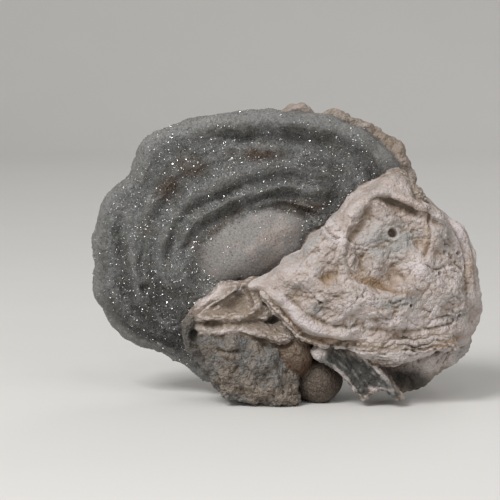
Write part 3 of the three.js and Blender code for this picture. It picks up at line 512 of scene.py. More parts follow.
# The ground: its colour, and in metres its front, where it starts to bend upwards, the bend's
# radius, its top and its half width
GROUND_COLOUR = (0.62, 0.61, 0.59)
GROUND_FRONT = -1.4
GROUND_BACK = 0.7
GROUND_BEND = 0.35
GROUND_TOP = 1.6
GROUND_SIDE = 1.8

# The spacing of the shells' points, in steps of the skin
SHELL_STEP = 1.3

# The share of its triangles that the side away from the viewer keeps, and how far back a normal
# points there
BACK_SHARE = 0.3
BACK_FROM = 0.1

# Rounds of averaging: for the finishes, for the growth, and for the near and the broad hollows,
# with what brings the last two to about the range from 0 to 1
FINISH_ROUNDS = 2
GROWTH_ROUNDS = 1
NEAR_ROUNDS = 8
NEAR_GAIN = 3.0
BROAD_ROUNDS = 100
BROAD_GAIN = 0.7

# How far a normal points to the viewer where creases and stains start and where they are full
FACING = (0.0, 0.4)

# The share of the fine relief that the calm patches and the crust's rim take away, and the reach
# where that rim starts and is full
CALM_LOSS = 0.8
RIM_LOSS = 0.5
CRUST_RIM = (0.8, 0.95)

# How densely crystals grow in the eye and at the rim, against the rest of the blade, and between
# which places and reaches that changes
EYE_SHARE = 0.08
EYE_FADE = (-0.15, 0.1)
RIM_SHARE = 0.2
RIM_FADE = (0.88, 0.97)

# The least share of the druse's finish where crystals grow, and of the face
DRUSE_LEAST = 0.8
FACE_LEAST = 0.3

# A crystal's tips, in half widths, how far crystals lean, how much their sizes differ, and the
# places in X, in metres, between which each of the druse's pieces lies
CRYSTAL_TIP = 0.8
CRYSTAL_LEAN = 0.6
CRYSTAL_SPREAD = 0.36
DRUSE_BOUNDS = (-0.05, -0.022, -0.008, 0.05)

# The height of the grain that only the material shows, in metres
GRAIN_HEIGHT = 0.0003

# How far a knob reaches, in cells
KNOB_REACH = 0.72

# Hills: how many sines, the golden angle between their directions, the share by which their
# pitches step through a range, as (least, range), and the rate of their starts
WAVE_COUNT = 10
GOLDEN_ANGLE = 2.39996
GOLDEN_SHARE = 0.618
HILL_PITCH = (0.75, 0.5)
HILL_START = 1.3

# Noise: what brings it to about -1 to 1, and the shift of each octave, in cells
NOISE_HEIGHT = 1.6
NOISE_SHIFT = 0.37

# Numbers that mix the bits of a cell's coordinates and its seed, as (shift, factor) in the rounds
MIX_AXES = (73856093, 19349663, 83492791)
MIX_SEED = (40503, 977)
MIX_ROUNDS = ((15, 0x2C1B3C6D), (12, 0x297A2D39))
MIX_LAST = 15

# Seeds of a scattered point's three coordinates and of its own number, and a distance, in cells,
# that is further than any point
SPOT_SEEDS = (11, 23, 37)
OWNER_SEED = 51
FAR = 9.0

# Points along a line's path, how far a line is felt, in widths, and points of a section's curve
LINE_POINTS = 40
LINE_FELT = 3
SECTION_POINTS = 4000

# The ring mark on the bud, as (x, z, reach)
BUD_RING = (2.2, 11.3, 0.75)

# The twelve ways from a cube's middle to the middles of its edges
WAYS = np.array([
    (1, 1, 0), (-1, 1, 0), (1, -1, 0), (-1, -1, 0), (1, 0, 1), (-1, 0, 1),
    (1, 0, -1), (-1, 0, -1), (0, 1, 1), (0, -1, 1), (0, 1, -1), (0, -1, -1),
], float)
TURN = 2 * math.pi


def bell(distance, width):
    """A bell of height 1 round zero: e to the minus square of distance over width."""
    return np.exp(-((distance / width) ** 2))


def step(low, high, value):
    """0 at low, 1 at high and a smooth cubic between."""
    share = np.clip((value - low) / (high - low), 0, 1)
    return share * share * (3 - 2 * share)


def hills(points, length):
    """Sines in ten directions that follow the golden angle, summed and divided by the root of five."""
    i = np.arange(WAVE_COUNT)
    rise = 1 - (2 * i + 1) / WAVE_COUNT
    level = np.sqrt(1 - rise**2)
    along = np.stack([level * np.cos(i * GOLDEN_ANGLE), level * np.sin(i * GOLDEN_ANGLE), rise])
    pitch = HILL_PITCH[0] + HILL_PITCH[1] * ((i * GOLDEN_SHARE) % 1)
    waves = np.sin((points @ along) * pitch * TURN / length + HILL_START * i * i)
    return waves.sum(-1) / math.sqrt(WAVE_COUNT / 2)


def lattice(cell, seed):
    """A number from 0 to 1 for each whole-number cell, by mixing the bits of its coordinates."""
    mixed = np.uint32(seed * MIX_SEED[0] + MIX_SEED[1])
    for k, factor in enumerate(MIX_AXES):
        mixed = mixed ^ (cell[..., k].astype(np.int64).astype(np.uint32) * np.uint32(factor))
    for shift, factor in MIX_ROUNDS:
        mixed = (mixed ^ (mixed >> np.uint32(shift))) * np.uint32(factor)
    return (mixed ^ (mixed >> np.uint32(MIX_LAST))) / 2.0**32


def noise(points, length, seed, octaves=1):
    """Smooth noise from about -1 to 1: at each corner of a cell one of twelve ways is chosen, and
    the offsets from the corners along those ways are blended by a smooth step. Each further octave
    has half the length and half the height."""
    total = np.zeros(len(points))
    height = NOISE_HEIGHT
    for octave in range(octaves):
        scaled = points * 2**octave / length + NOISE_SHIFT * octave
        cell = np.floor(scaled)
        offset = scaled - cell
        share = offset**3 * (offset * (offset * 6 - 15) + 10)
        for corner in np.ndindex(2, 2, 2):
            weight = np.prod(np.where(corner, share, 1 - share), axis=1)
            way = WAYS[(lattice(cell + corner, seed + octave) * len(WAYS)).astype(int)]
            total += height * weight * ((offset - corner) * way).sum(1)
        height /= 2
    return total


def cells(points, length, seed):
    """Distances to the nearest and second nearest of one scattered point per cell, in cells, and a
    number from 0 to 1 that belongs to the nearest."""
    scaled = points / length
    cell = np.floor(scaled)
    first = np.full(len(points), FAR)
    second = np.full(len(points), FAR)
    owner = np.zeros(len(points))
    for offset in np.ndindex(3, 3, 3):
        there = cell + offset - 1
        spot = there + np.stack([lattice(there, seed + k) for k in SPOT_SEEDS], axis=1)
        distance = np.linalg.norm(spot - scaled, axis=1)
        nearer = distance < first
        second = np.where(nearer, first, np.minimum(second, distance))
        owner = np.where(nearer, lattice(there, seed + OWNER_SEED), owner)
        first = np.where(nearer, distance, first)
    return first, second, owner


def even(points, count):
    """Points evenly spaced by length along a path of points, both ends included."""
    steps = np.linalg.norm(np.diff(points, axis=0), axis=1)
    along = np.concatenate([[0], np.cumsum(steps)])
    at = np.linspace(0, along[-1], count)
    return np.stack([np.interp(at, along, points[:, k]) for k in range(points.shape[1])], axis=1)


def smooth_curve(corners, closed, fine=40):
    """The uniform Catmull-Rom curve: on each stretch a cubic through its two corners, whose slope
    at a corner is half the way between that corner's neighbours."""
    p = np.array(corners, float)
    if not closed:
        p = np.vstack([2 * p[0] - p[1], p, 2 * p[-1] - p[-2]])
    p0, p1, p2, p3 = (np.roll(p, -k, axis=0)[:, None, :] for k in range(4))
    t = np.linspace(0, 1, fine, endpoint=False)[None, :, None]
    curve = 0.5 * (
        2 * p1 + (p2 - p0) * t + (2 * p0 - 5 * p1 + 4 * p2 - p3) * t**2 + (3 * p1 - p0 - 3 * p2 + p3) * t**3
    )
    if closed:
        curve = curve.reshape(-1, p.shape[1])
        return np.vstack([curve, curve[:1]])
    return np.vstack([curve[: len(p) - 3].reshape(-1, p.shape[1]), corners[-1]])


def closed_curve(corners, count):
    """Evenly spaced points along a smooth closed curve, anticlockwise for the viewer."""
    spaced = even(smooth_curve(corners, True), count + 1)[:-1]
    after = np.roll(spaced, -1, axis=0)
    turned = (spaced[:, 0] * after[:, 1] - after[:, 0] * spaced[:, 1]).sum()
    return spaced if turned > 0 else spaced[::-1]


def smoothed(ways):
    """A ring of ways from the heart, each averaged over a third of the round with cosine weights."""
    count = len(ways)
    half = round(count / 6)
    offsets = np.arange(-half, half + 1)
    weights = np.cos(math.pi * offsets / (2 * half + 2))
    around = ways[(np.arange(count)[:, None] + offsets) % count]
    return (around * weights[None, :, None]).sum(1) / weights.sum()


def section_side(reach, half, power, steps):
    """One side of a sheet's section, a superellipse from its pole, (0, 1), to its rim, (1, 0), in
    steps that are even along it. Gives the reach and the share of the half thickness."""
    angle = np.linspace(0, math.pi / 2, SECTION_POINTS)
    out = np.sin(angle) ** (2 / power)
    thick = np.clip(np.cos(angle), 0, 1) ** (2 / power)
    thick[-1] = 0
    spaced = even(np.stack([out * reach, thick * half], axis=1), steps + 1)
    return spaced[:, 0] / reach, spaced[:, 1] / half


def sheet(petal, x, z):
    """The depth of a petal's middle surface: a leaning plane, plus for each bend its rate times
    the square of how far the place is past the bend's start."""
    y = petal.middle + petal.lean[0] * (x - petal.heart[0]) + petal.lean[1] * (z - petal.heart[1])
    for along, start, rate in petal.bends:
        y = y + rate * np.maximum(0, along[0] * x + along[1] * z - start) ** 2
    return y


@dataclass
class Shell:
    """A closed mesh in millimetres, with what the finishes need to know on each of its points."""

    points: np.ndarray
    triangles: np.ndarray
    kind: str
    growth: np.ndarray = field(default=None)


def closed_grid(rows):
    """The points and triangles of a grid of rings, whose first and last rings are drawn together
    to single points."""
    count, around, _ = rows.shape
    points = np.vstack([rows[0, :1], rows[1:-1].reshape(-1, 3), rows[-1, :1]])
    ring = 1 + np.arange((count - 2) * around).reshape(count - 2, around)
    after = np.roll(ring, -1, axis=1)
    a, b, c, d = ring[:-1], ring[1:], after[1:], after[:-1]
    walls = np.concatenate([np.stack([a, b, c], -1).reshape(-1, 3), np.stack([a, c, d], -1).reshape(-1, 3)])
    first = np.stack([np.zeros(around, int), ring[0], after[0]], -1)
    last = np.stack([np.full(around, len(points) - 1), after[-1], ring[-1]], -1)
    return points, np.concatenate([first, walls, last])


def point_normals(points, triangles):
    """The unit normal of each point: the sum of its triangles' cross products, made unit long."""
    a, b, c = (points[triangles[:, k]] for k in range(3))
    face = np.cross(b - a, c - a)
    total = np.stack([
        np.bincount(triangles.ravel(), np.repeat(face[:, k], 3), len(points)) for k in range(3)
    ], axis=1)
    return total / np.maximum(np.linalg.norm(total, axis=1, keepdims=True), 1e-12)


def outward(points, triangles):
    """The triangles, turned so that the volume they enclose is positive."""
    a, b, c = (points[triangles[:, k]] for k in range(3))
    volume = (a * np.cross(b, c)).sum()
    return triangles if volume > 0 else triangles[:, ::-1]


def shell(rows, kind, rough, growth=None):
    """A closed grid moved along its normals by hills of the height and length in rough."""
    points, triangles = closed_grid(rows)
    triangles = outward(points, triangles)
    points = points + rough[0] * hills(points, rough[1])[:, None] * point_normals(points, triangles)
    if growth is not None:
        growth = np.vstack([growth[0, :1], growth[1:-1].reshape(-1, 3), growth[-1, :1]])
    else:
        growth = np.zeros((len(points), 3))
    return Shell(points, triangles, kind, growth)


def petal_shell(petal, spacing, relief=None):
    """A petal on a grid of reach and direction. At reach r and for the rim's way E and the
    smoothed rim's way S, the place is heart + r * (S + (E - S) * r). The depth is the middle
    surface, less front plus relief on the face or plus back behind, times the section's share."""
    rim = smooth_curve(petal.outline, True)
    around = int(np.linalg.norm(np.diff(rim, axis=0), axis=1).sum() / spacing)
    turn = np.arange(around) / around * TURN
    edges = closed_curve(petal.outline, around) - petal.heart
    wave = sum(np.sin(turn * count + count) for count in RAGGED_WAVES)
    edges = edges * (1 + petal.ragged * wave / np.linalg.norm(edges, axis=1))[:, None]
    inner = smoothed(edges)
    full = np.linalg.norm(edges, axis=1)
    sides = []
    for side, half in ((-1, petal.front), (1, petal.back)):
        steps = int((full.mean() + half) / spacing)
        out, thick = section_side(full.mean(), half, petal.power, steps)
        sides.append((out, thick, np.full(len(out), side)))
    out, thick, side = (
        np.concatenate([front, back[::-1][1:]])[:, None] for front, back in zip(*sides)
    )
    way = out[..., None] * (inner + (edges - inner) * out[..., None])
    x = petal.heart[0] + way[..., 0]
    z = petal.heart[1] + way[..., 1]
    reach = np.linalg.norm(way, axis=2)
    direction = np.arctan2(way[..., 1], way[..., 0])
    at = ripple_place(reach, full, direction)
    raised = relief(x, z, out, at, direction) if relief else 0
    half = np.where(side < 0, petal.front + raised, petal.back)
    rows = np.stack([x, sheet(petal, x, z) + side * half * thick, z], axis=2)
    growth = np.stack(np.broadcast_arrays(at, out, side < 0), axis=2).astype(float)
    return shell(rows, petal.kind, petal.rough, growth)


def fold_shell(fold, spacing):
    """An oval section carried along a path. Its half lengths are wide and high times the root of
    one less a high power of the distance from the path's middle."""
    path = smooth_curve(fold.path, False)
    length = np.linalg.norm(np.diff(path, axis=0), axis=1).sum()
    count = int(length / spacing)
    centres = even(path, count + 1)
    along = np.linspace(-1, 1, count + 1)
    full = np.sqrt(np.clip(1 - along**FOLD_BLUNT, 0, 1))[:, None, None]
    towards = np.array([0.0, -1.0, 0.0])
    side = np.cross(np.gradient(centres, axis=0), towards)
    side /= np.linalg.norm(side, axis=1, keepdims=True)
    around = max(FOLD_LEAST_ROUND, int(TURN * fold.high / spacing))
    turn = np.arange(around)[None, :, None] / around * TURN
    rows = centres[:, None] + full * (
        fold.wide * np.cos(turn) * side[:, None] + fold.high * np.sin(turn) * towards
    )
    return shell(rows, fold.kind, FOLD_ROUGH)


def dome_shell(dome, spacing):
    """An ellipsoid on a grid of drop from the front pole and turn round the depth axis."""
    around = int(TURN * max(dome.radii) / spacing)
    drop = np.linspace(0, math.pi, around // 2)[:, None]
    turn = (np.arange(around) / around * TURN)[None]
    round_ = np.stack(np.broadcast_arrays(
        np.sin(drop) * np.cos(turn), -np.cos(drop), np.sin(drop) * np.sin(turn)
    ), axis=2)
    return shell(np.array(dome.centre) + round_ * dome.radii, dome.kind, dome.rough)


def ripple_place(reach, full, direction):
    """Where a place stands between the eye's edge, at 0, and the rim, at 1, and from -1 at the
    heart to 0 inside the eye. The eye's edge is an ellipse round the heart."""
    turn = direction - EYE_TURN
    eye = EYE_LONG * EYE_SHORT / np.hypot(EYE_SHORT * np.cos(turn), EYE_LONG * np.sin(turn))
    return np.where(reach > eye, (reach - eye) / (full - eye), reach / eye - 1)


def lines_at(lines, x, z):
    """The sum of the lines' heights."""
    return sum(line_bell(line, x, z) for line in lines)


def blade_relief(x, z, out, at, direction):
    """The eye's dome, one less the square of the reach in it, plus a bell for each ripple, and
    the ridges, grooves and swellings. The ripples wander and surge with hills."""
    height = EYE_HEIGHT * (1 - (1 + np.minimum(at, 0)) ** 2)
    place = np.maximum(at, 0)
    for crest, width, rise, towards, focus in RIPPLES:
        facing = 0.5 + 0.5 * np.cos(direction - math.radians(towards))
        height = height + rise * (1 - focus + focus * facing) * bell(place - crest, width)
    flat = np.stack([x, np.zeros_like(x), z], axis=-1)
    wander = WANDER * hills(flat, WANDER_LENGTH)
    surge = 1 + SURGE * hills(flat, SURGE_LENGTH)
    return height + surge * lines_at(BLADE_LINES, x + wander, z + wander) + lumps_at(BLADE_LUMPS, x, z)


def web_relief(x, z, out, at, direction):
    """The web's folds, its pocket and the hole."""
    return (lines_at(WEB_LINES, x, z) + lumps_at(WEB_LUMPS, x, z)) * step(1.0, 0.8, out)


def lip_relief(x, z, out, at, direction):
    """A slope that falls back downwards, with pages on it: each is proudest at its lower edge and
    runs back to the face at its top, where the next begins. The pages wave along the lip."""
    low, high, rise = LIP_SLOPE
    middle, droop = PAGE_DROOP
    waves = sum(height * np.sin(x * rate + start) for height, rate, start in PAGE_WAVES)
    page = ((z + waves - droop * np.abs(x - middle)) / PAGE_HIGH) % 1
    return rise * step(low, high, z) + PAGE_PROUD * (1 - page) * step(0, PAGE_EDGE, page) - LIP_SUNK


def keel_relief(x, z, out, at, direction):
    """The lower facet, which falls back below a line along the face."""
    edge = np.interp(x, [p[0] for p in KEEL_EDGE], [p[1] for p in KEEL_EDGE])
    return -KEEL_FALL * step(0.0, -KEEL_FACET, z - edge)


def fin_relief(x, z, out, at, direction):
    """The rind, raised along the fin's upper and right edge, and two broken hollows."""
    return lines_at(FIN_LINES, x, z)


def lumps_at(lumps, x, z):
    """The sum of bells of the given half widths and heights."""
    return sum(height * bell(np.hypot(x - cx, z - cz), half) for cx, cz, half, height in lumps)


def crust_relief(x, z, out, at, direction):
    """A basin with a smooth wall, a lip round its top, a shelf below it, and lumps."""
    ring = np.hypot((x - BASIN_MIDDLE[0]) / BASIN_RADII[0], (z - BASIN_MIDDLE[1]) / BASIN_RADII[1])
    floor = -BASIN_DEPTH * (1 - step(*BASIN_WALL, ring))
    crest, width, height = BASIN_LIP
    lip = height * bell(ring - crest, width) * step(*BASIN_LIP_FROM, z)
    sagged = z - SHELF_SAG * np.abs(x - SHELF_MIDDLE)
    shelf = SHELF_HEIGHT * step(*SHELF_LEVEL, sagged) * step(*SHELF_FADE, out)
    return floor + lip + shelf + lumps_at(CRUST_LUMPS, x, z)


def foot_relief(x, z, out, at, direction):
    """The foot petal's lumps."""
    return lumps_at(FOOT_LUMPS, x, z)


def terrace_petals():
    """The rind's outline, made smaller and moved, once for each terrace."""
    heart = np.array(RIND.heart)
    for share, shift, middle, ragged in TERRACES:
        moved = heart + shift
        outline = tuple(map(tuple, moved + (np.array(RIND.outline) - heart) * share))
        yield replace(
            RIND, outline=outline, heart=tuple(moved), middle=middle, ragged=ragged, **TERRACE_FORM
        )


def stone_shells(spacing):
    """Every form of the stone as a closed shell."""
    for petal, relief in (
        (BLADE, blade_relief), (CRUST, crust_relief), (FOOT, foot_relief), (WEB, web_relief),
        (LIP, lip_relief), (KEEL, keel_relief), (FIN, fin_relief),
    ):
        yield petal_shell(petal, spacing, relief)
    for petal in (RIND, TONGUE, *terrace_petals()):
        yield petal_shell(petal, spacing)
    for fold in FOLDS:
        yield fold_shell(fold, spacing)
    for dome in DOMES:
        yield dome_shell(dome, spacing)


def mesh_from(name, points, faces, attributes=()):
    """A mesh of points and faces, with four-channel attributes on its points."""
    mesh = bpy.data.meshes.new(name)
    mesh.from_pydata(points, [], faces)
    for title, values in attributes:
        layer = mesh.attributes.new(title, "FLOAT_COLOR", "POINT")
        layer.data.foreach_set("color", np.ascontiguousarray(values, np.float32).ravel())
    mesh.update()
    return mesh


def read_points(mesh):
    """A mesh's points as an array."""
    flat = np.empty(len(mesh.vertices) * 3, np.float32)
    mesh.vertices.foreach_get("co", flat)
    return flat.reshape(-1, 3).astype(float)


def read_attribute(mesh, title):
    """A four-channel point attribute as an array."""
    flat = np.empty(len(mesh.vertices) * 4, np.float32)
    mesh.attributes[title].data.foreach_get("color", flat)
    return flat.reshape(-1, 4).astype(float)


def read_triangles(mesh):
    """A mesh's faces, cut into triangles, as an array."""
    mesh.calc_loop_triangles()
    flat = np.empty(len(mesh.loop_triangles) * 3, np.int32)
    mesh.loop_triangles.foreach_get("vertices", flat)
    return flat.reshape(-1, 3)


def read_edges(mesh):
    """A mesh's edges as an array."""
    flat = np.empty(len(mesh.edges) * 2, np.int32)
    mesh.edges.foreach_get("vertices", flat)
    return flat.reshape(-1, 2)


def linked(name, data):
    """An object of a mesh, a light or a camera, in the scene."""
    made = bpy.data.objects.new(name, data)
    bpy.context.scene.collection.objects.link(made)
    return made


def grown_together(shells, voxel):
    """One closed skin round overlapping shells, with their attributes on it: a voxel remesh,
    whose points take the attributes of the nearest place on the shells."""
    starts = np.cumsum([0] + [len(s.points) for s in shells])
    points = np.vstack([s.points for s in shells])
    triangles = np.vstack([s.triangles + start for s, start in zip(shells, starts)])
    finish = np.zeros((2, len(points), 4))
    growth = np.ones((len(points), 4))
    for s, start in zip(shells, starts):
        attribute, channel = KINDS[s.kind]
        finish[attribute, start : start + len(s.points), channel] = 1
        growth[start : start + len(s.points), :3] = s.growth
    growth[:, 0] = growth[:, 0] / 2 + 0.5
    names = (*FINISH_NAMES, GROWTH_NAME)
    known = zip(names, (*finish, growth))
    parts = linked("stone_parts", mesh_from("stone_parts", points, triangles, known))
    skin = linked("stone_skin", mesh_from("stone_skin", points, triangles))
    remesh = skin.modifiers.new("grow", "REMESH")
    remesh.mode = "VOXEL"
    remesh.voxel_size = voxel
    target = linked("stone_target", evaluated(skin))
    transfer = target.modifiers.new("finishes", "DATA_TRANSFER")
    transfer.object = parts
    transfer.use_vert_data = True
    transfer.data_types_verts = {"COLOR_VERTEX"}
    transfer.vert_mapping = "POLYINTERP_NEAREST"
    with bpy.context.temp_override(object=target, active_object=target, selected_objects=[target]):
        bpy.ops.object.datalayout_transfer(modifier=transfer.name)
    skinned = evaluated(target)
    for done in (parts, skin, target):
        bpy.data.objects.remove(done)
    return skinned


def averaged(values, edges, rounds):
    """Values on points, each averaged with its neighbours' mean, for a number of rounds."""
    count = len(values)
    degree = np.maximum(np.bincount(edges.ravel(), minlength=count), 1)[:, None]
    for _ in range(rounds):
        total = np.stack([
            np.bincount(edges[:, 0], column[edges[:, 1]], count)
            + np.bincount(edges[:, 1], column[edges[:, 0]], count)
            for column in values.T
        ], axis=1)
        values = 0.5 * values + 0.5 * total / degree
    return values


def line_bell(line, x, z):
    """A line's depth times the bell of its width by the distance to the smooth path through its
    points. It fades over TAPER of the path's length at both ends."""
    path = even(smooth_curve(line.points, False), LINE_POINTS)
    margin = LINE_FELT * line.width
    near = (
        (x > path[:, 0].min() - margin) & (x < path[:, 0].max() + margin)
        & (z > path[:, 1].min() - margin) & (z < path[:, 1].max() + margin)
    )
    start, way = path[:-1], np.diff(path, axis=0)
    dx = x[near][:, None] - start[:, 0]
    dz = z[near][:, None] - start[:, 1]
    share = np.clip((dx * way[:, 0] + dz * way[:, 1]) / (way**2).sum(1), 0, 1)
    distance = np.hypot(dx - share * way[:, 0], dz - share * way[:, 1])
    nearest = distance.argmin(1)[:, None]
    along = (nearest + np.take_along_axis(share, nearest, 1))[:, 0] / len(start)
    fade = step(0, TAPER, along) * step(1, 1 - TAPER, along)
    raised = np.zeros(np.shape(x))
    raised[near] = line.depth * fade * bell(np.take_along_axis(distance, nearest, 1)[:, 0], line.width)
    return raised


def knobs(points, length, seed):
    """Steep-sided domes from 0 to 1, one to a scattered cell: the root of one less the square of
    the distance over KNOB_REACH."""
    return np.sqrt(1 - np.clip(cells(points, length, seed)[0] / KNOB_REACH, 0, 1) ** 2)


def billow(points, length, seed, octaves=2):
    """Round bumps with sharp creases between them: the size of the noise, from 0 to about 1, with
    each further octave at half the length and half the height."""
    total = np.zeros(len(points))
    for octave in range(octaves):
        total += np.abs(noise(points, length / 2**octave, seed + 5 * octave)) / 2**octave
    return total


def warped(points, length, reach, seed):
    """Points moved by up to reach along each axis by noise of the given length."""
    return points + reach * np.stack([noise(points, length, seed + k) for k in (0, 3, 6)], axis=1)


# The fine relief of each finish. Its lengths and heights are in millimetres, and the number after
# the length of a noise, of cells, of knobs or of a billow is its seed


def crust_detail(p, at):
    """Soft lumps with faint creases between them, knobs that are stronger in patches, and holes."""
    level = warped(warped(p, 4.5, 1.1, 60), 1.7, 0.3, 66) * (0.85, 1, 1.2)
    knobbly = step(-0.3, 0.7, noise(p, 6.0, 61))
    first, second, owner = cells(level, 2.7, 1)
    holes = -0.4 * bell(first, 0.1) * (owner < 0.1)
    lumps = 0.25 * noise(level, 5.0, 4) + (0.3 + 0.5 * owner) * (1 - np.clip(first, 0, 1) ** 2)
    creases = -0.11 * bell(second - first, 0.1) * (owner > 0.3)
    wrinkles = (0.2 + 0.14 * knobbly) * billow(level, 2.1, 31, 2)
    small = (0.1 + 0.22 * knobbly) * knobs(level, 1.15, 35) + 0.12 * knobbly * knobs(p, 0.7, 38)
    return lumps + creases + wrinkles + small + holes - 0.85


def gnarl_detail(p, at):
    """Low wrinkles, domed knobs and grit, which grow rougher towards the ground."""
    low = step(11.0, 4.0, p[:, 2])
    bent = warped(p, 3.0, 0.8, 70)
    lumps = 0.3 * billow(bent, 3.4, 41, 2) + 0.3 * knobs(bent, 2.4, 42)
    small = (0.24 + 0.14 * low) * knobs(warped(p, 1.5, 0.35, 72), 1.2, 7)
    grit = (0.12 + 0.1 * low) * knobs(p, 0.66, 8)
    return lumps + small + grit - 0.75


def druse_detail(p, at):
    """Faint ripples that follow the growth, soft wrinkles and a sugary grain, calmer in the eye."""
    along = 20 * at + 1.6 * noise(p, 6.0, 12)
    ripple = 0.08 * np.sin(TURN * along) * step(0.03, 0.2, at) * (0.5 + 0.5 * noise(p, 7.0, 15))
    field = 1 - 0.92 * step(0.1, -0.2, at)
    rough = 0.2 * noise(p, 6.0, 13) + 0.26 * billow(warped(p, 4.0, 0.8, 80), 3.4, 51, 2) - 0.15
    return ripple + (rough + 0.06 * noise(p, 1.0, 14, 2)) * field - 0.12


def fracture_detail(p, at):
    """Shell-like steps and scratches drawn out along the fin."""
    along, across = p[:, 0] * 0.64 - p[:, 2] * 0.77, p[:, 0] * 0.77 + p[:, 2] * 0.64
    drawn = np.stack([along * 0.3, p[:, 1] * 0.3, across], axis=1)
    return 0.42 * billow(drawn, 1.3, 20, 3) + 0.16 * knobs(p, 1.4, 27) - 0.36


def knob_detail(p, at):
    """A fine grain."""
    return 0.08 * knobs(p, 0.66, 21) + 0.05 * noise(p, 0.9, 28) - 0.08


def bud_detail(p, at):
    """A faint grain, and a ring mark on the face."""
    ring = np.hypot(p[:, 0] - BUD_RING[0], p[:, 2] - BUD_RING[1])
    mark = 0.14 * bell(ring - BUD_RING[2], 0.22) - 0.12 * bell(ring - 0.2 * BUD_RING[2], 0.3)
    return mark + 0.05 * noise(p, 1.2, 22) + 0.04 * billow(p, 2.5, 25, 2) - 0.06


def cream_detail(p, at):
    """Wrinkles drawn out level, and grit."""
    level = warped(p, 3.0, 0.6, 97) * (0.7, 1, 1.5)
    return 0.3 * billow(level, 1.9, 23, 3) + 0.16 * knobs(level, 0.9, 24) - 0.32


def rind_detail(p, at):
    """Layered wrinkles, grape-like bumps and grit."""
    bent = warped(p, 5.0, 1.0, 90)
    layers = 0.75 * billow(bent * (1, 1.5, 1), 4.4, 53, 3)
    return layers + 0.2 * knobs(warped(p, 1.6, 0.3, 92), 1.5, 17) - 0.5


DETAILS = {
    "druse": druse_detail, "crust": crust_detail, "gnarl": gnarl_detail,
    "fracture": fracture_detail, "knob": knob_detail, "bud": bud_detail, "cream": cream_detail,
    "rind": rind_detail,
}


def detail_heights(p, weight, at):
    """The height of the fine relief: each finish's own detail times its share, where it has one."""
    height = np.zeros(len(p))
    for kind, detail in DETAILS.items():
        here = weight[kind] > 0.01
        height[here] += weight[kind][here] * detail(p[here], at[here])
    return height


def fringe_lines():
    """The strokes of the fringe, evenly spaced, each bent a little upwards at its end."""
    (start, end), way, count, height, width = FRINGE
    uneven, waves = FRINGE_UNEVEN
    for share in np.linspace(0, 1, count):
        x, z = np.array(start) + share * (np.array(end) - start)
        reach = 1 + uneven * math.sin(waves * share * math.pi)
        middle = (x + FRINGE_BEND[0] * reach * way[0], z + FRINGE_BEND[1] * reach * way[1])
        yield Line(((x, z), middle, (x + reach * way[0], z + reach * way[1])), height, width)


def patches_at(patches, x, z):
    """Turned elliptic bells of given strengths, added up to at most 1."""
    total = np.zeros(len(x))
    for cx, cz, wide, high, turn, strength in patches:
        c, s = math.cos(math.radians(turn)), math.sin(math.radians(turn))
        along = ((x - cx) * c + (z - cz) * s) / wide
        across = ((z - cz) * c - (x - cx) * s) / high
        total += strength * bell(np.hypot(along, across), 1.0)
    return np.clip(total, 0, 1)


def worn_stone(mesh):
    """The stone's final points, finishes and shape: fine relief along the normals, creases and
    pits on the faces, and a flat underside."""
    p = read_points(mesh)
    triangles = read_triangles(mesh)
    edges = read_edges(mesh)
    normals = point_normals(p, triangles)
    finish = [averaged(read_attribute(mesh, name), edges, FINISH_ROUNDS) for name in FINISH_NAMES]
    growth = averaged(read_attribute(mesh, GROWTH_NAME), edges, GROWTH_ROUNDS)
    weight = {kind: finish[a][:, c] for kind, (a, c) in KINDS.items()}
    facing = step(*FACING, -normals[:, 1])
    x, z = p[:, 0], p[:, 2]
    calm = patches_at(CALM, x, z) * facing
    rim = step(*CRUST_RIM, growth[:, 1]) * weight["crust"]
    height = detail_heights(p, weight, 2 * growth[:, 0] - 1)
    height = height * (1 - CALM_LOSS * calm) * (1 - RIM_LOSS * rim)
    for line in (*CREASES, *fringe_lines()):
        height = height + line_bell(line, x, z) * facing
    raised, place, width = PIT_RING
    for cx, cz, half in PITS:
        ring = np.hypot(x - cx, z - cz) / half
        dip = PIT_DEPTH * (1 - step(*PIT_WALL, ring))
        height = height + facing * (raised * bell(ring - place, width) - dip)
    p = p + height[:, None] * normals
    p[:, 2] = np.maximum(p[:, 2], 0)
    normals = point_normals(p, triangles)
    # How far each point lies in a near and a broad hollow: the colours paint shade in hollows and highlights
    # on crests from these
    near = ((averaged(p, edges, NEAR_ROUNDS) - p) * normals).sum(1)
    broad = ((averaged(p, edges, BROAD_ROUNDS) - p) * normals).sum(1)
    shape = np.stack([
        0.5 + NEAR_GAIN * near, 0.5 + BROAD_GAIN * broad, normals[:, 2] / 2 + 0.5, np.ones(len(p))
    ], axis=1)
    shape = np.clip(shape, 0, 1)
    # The stains and the patches of painted light and shade, on faces towards the viewer
    stain_and_light = np.stack([patches_at(patches, x, z) * facing for patches in STAINS_AND_PAINTED_LIGHT.values()], axis=1)
    return p, finish, growth, shape, stain_and_light


def evaluated(piece):
    """A new mesh of an object with its modifiers applied and its attributes kept."""
    graph = bpy.context.evaluated_depsgraph_get()
    return bpy.data.meshes.new_from_object(
        piece.evaluated_get(graph), preserve_all_data_layers=True, depsgraph=graph
    )


def thinned(name, points, triangles, attributes, most):
    """A mesh with no more than a number of triangles: edges that matter least are collapsed, first
    on the side away from the viewer alone, to BACK_SHARE of its triangles, and then everywhere."""
    dense = linked("dense", mesh_from("dense", points, triangles, attributes))
    away = point_normals(points, triangles)[:, 1] > BACK_FROM
    group = dense.vertex_groups.new(name="away")
    group.add(np.flatnonzero(away).tolist(), 1.0, "REPLACE")
    kept = 1 - (1 - BACK_SHARE) * away[triangles].mean()
    for vertex_group, ratio in (("away", kept), ("", most / len(triangles) / kept)):
        collapse = dense.modifiers.new("collapse", "DECIMATE")
        collapse.vertex_group = vertex_group
        collapse.ratio = min(1.0, ratio)
    mesh = evaluated(dense)
    bpy.data.objects.remove(dense)
    mesh.name = name
    return mesh


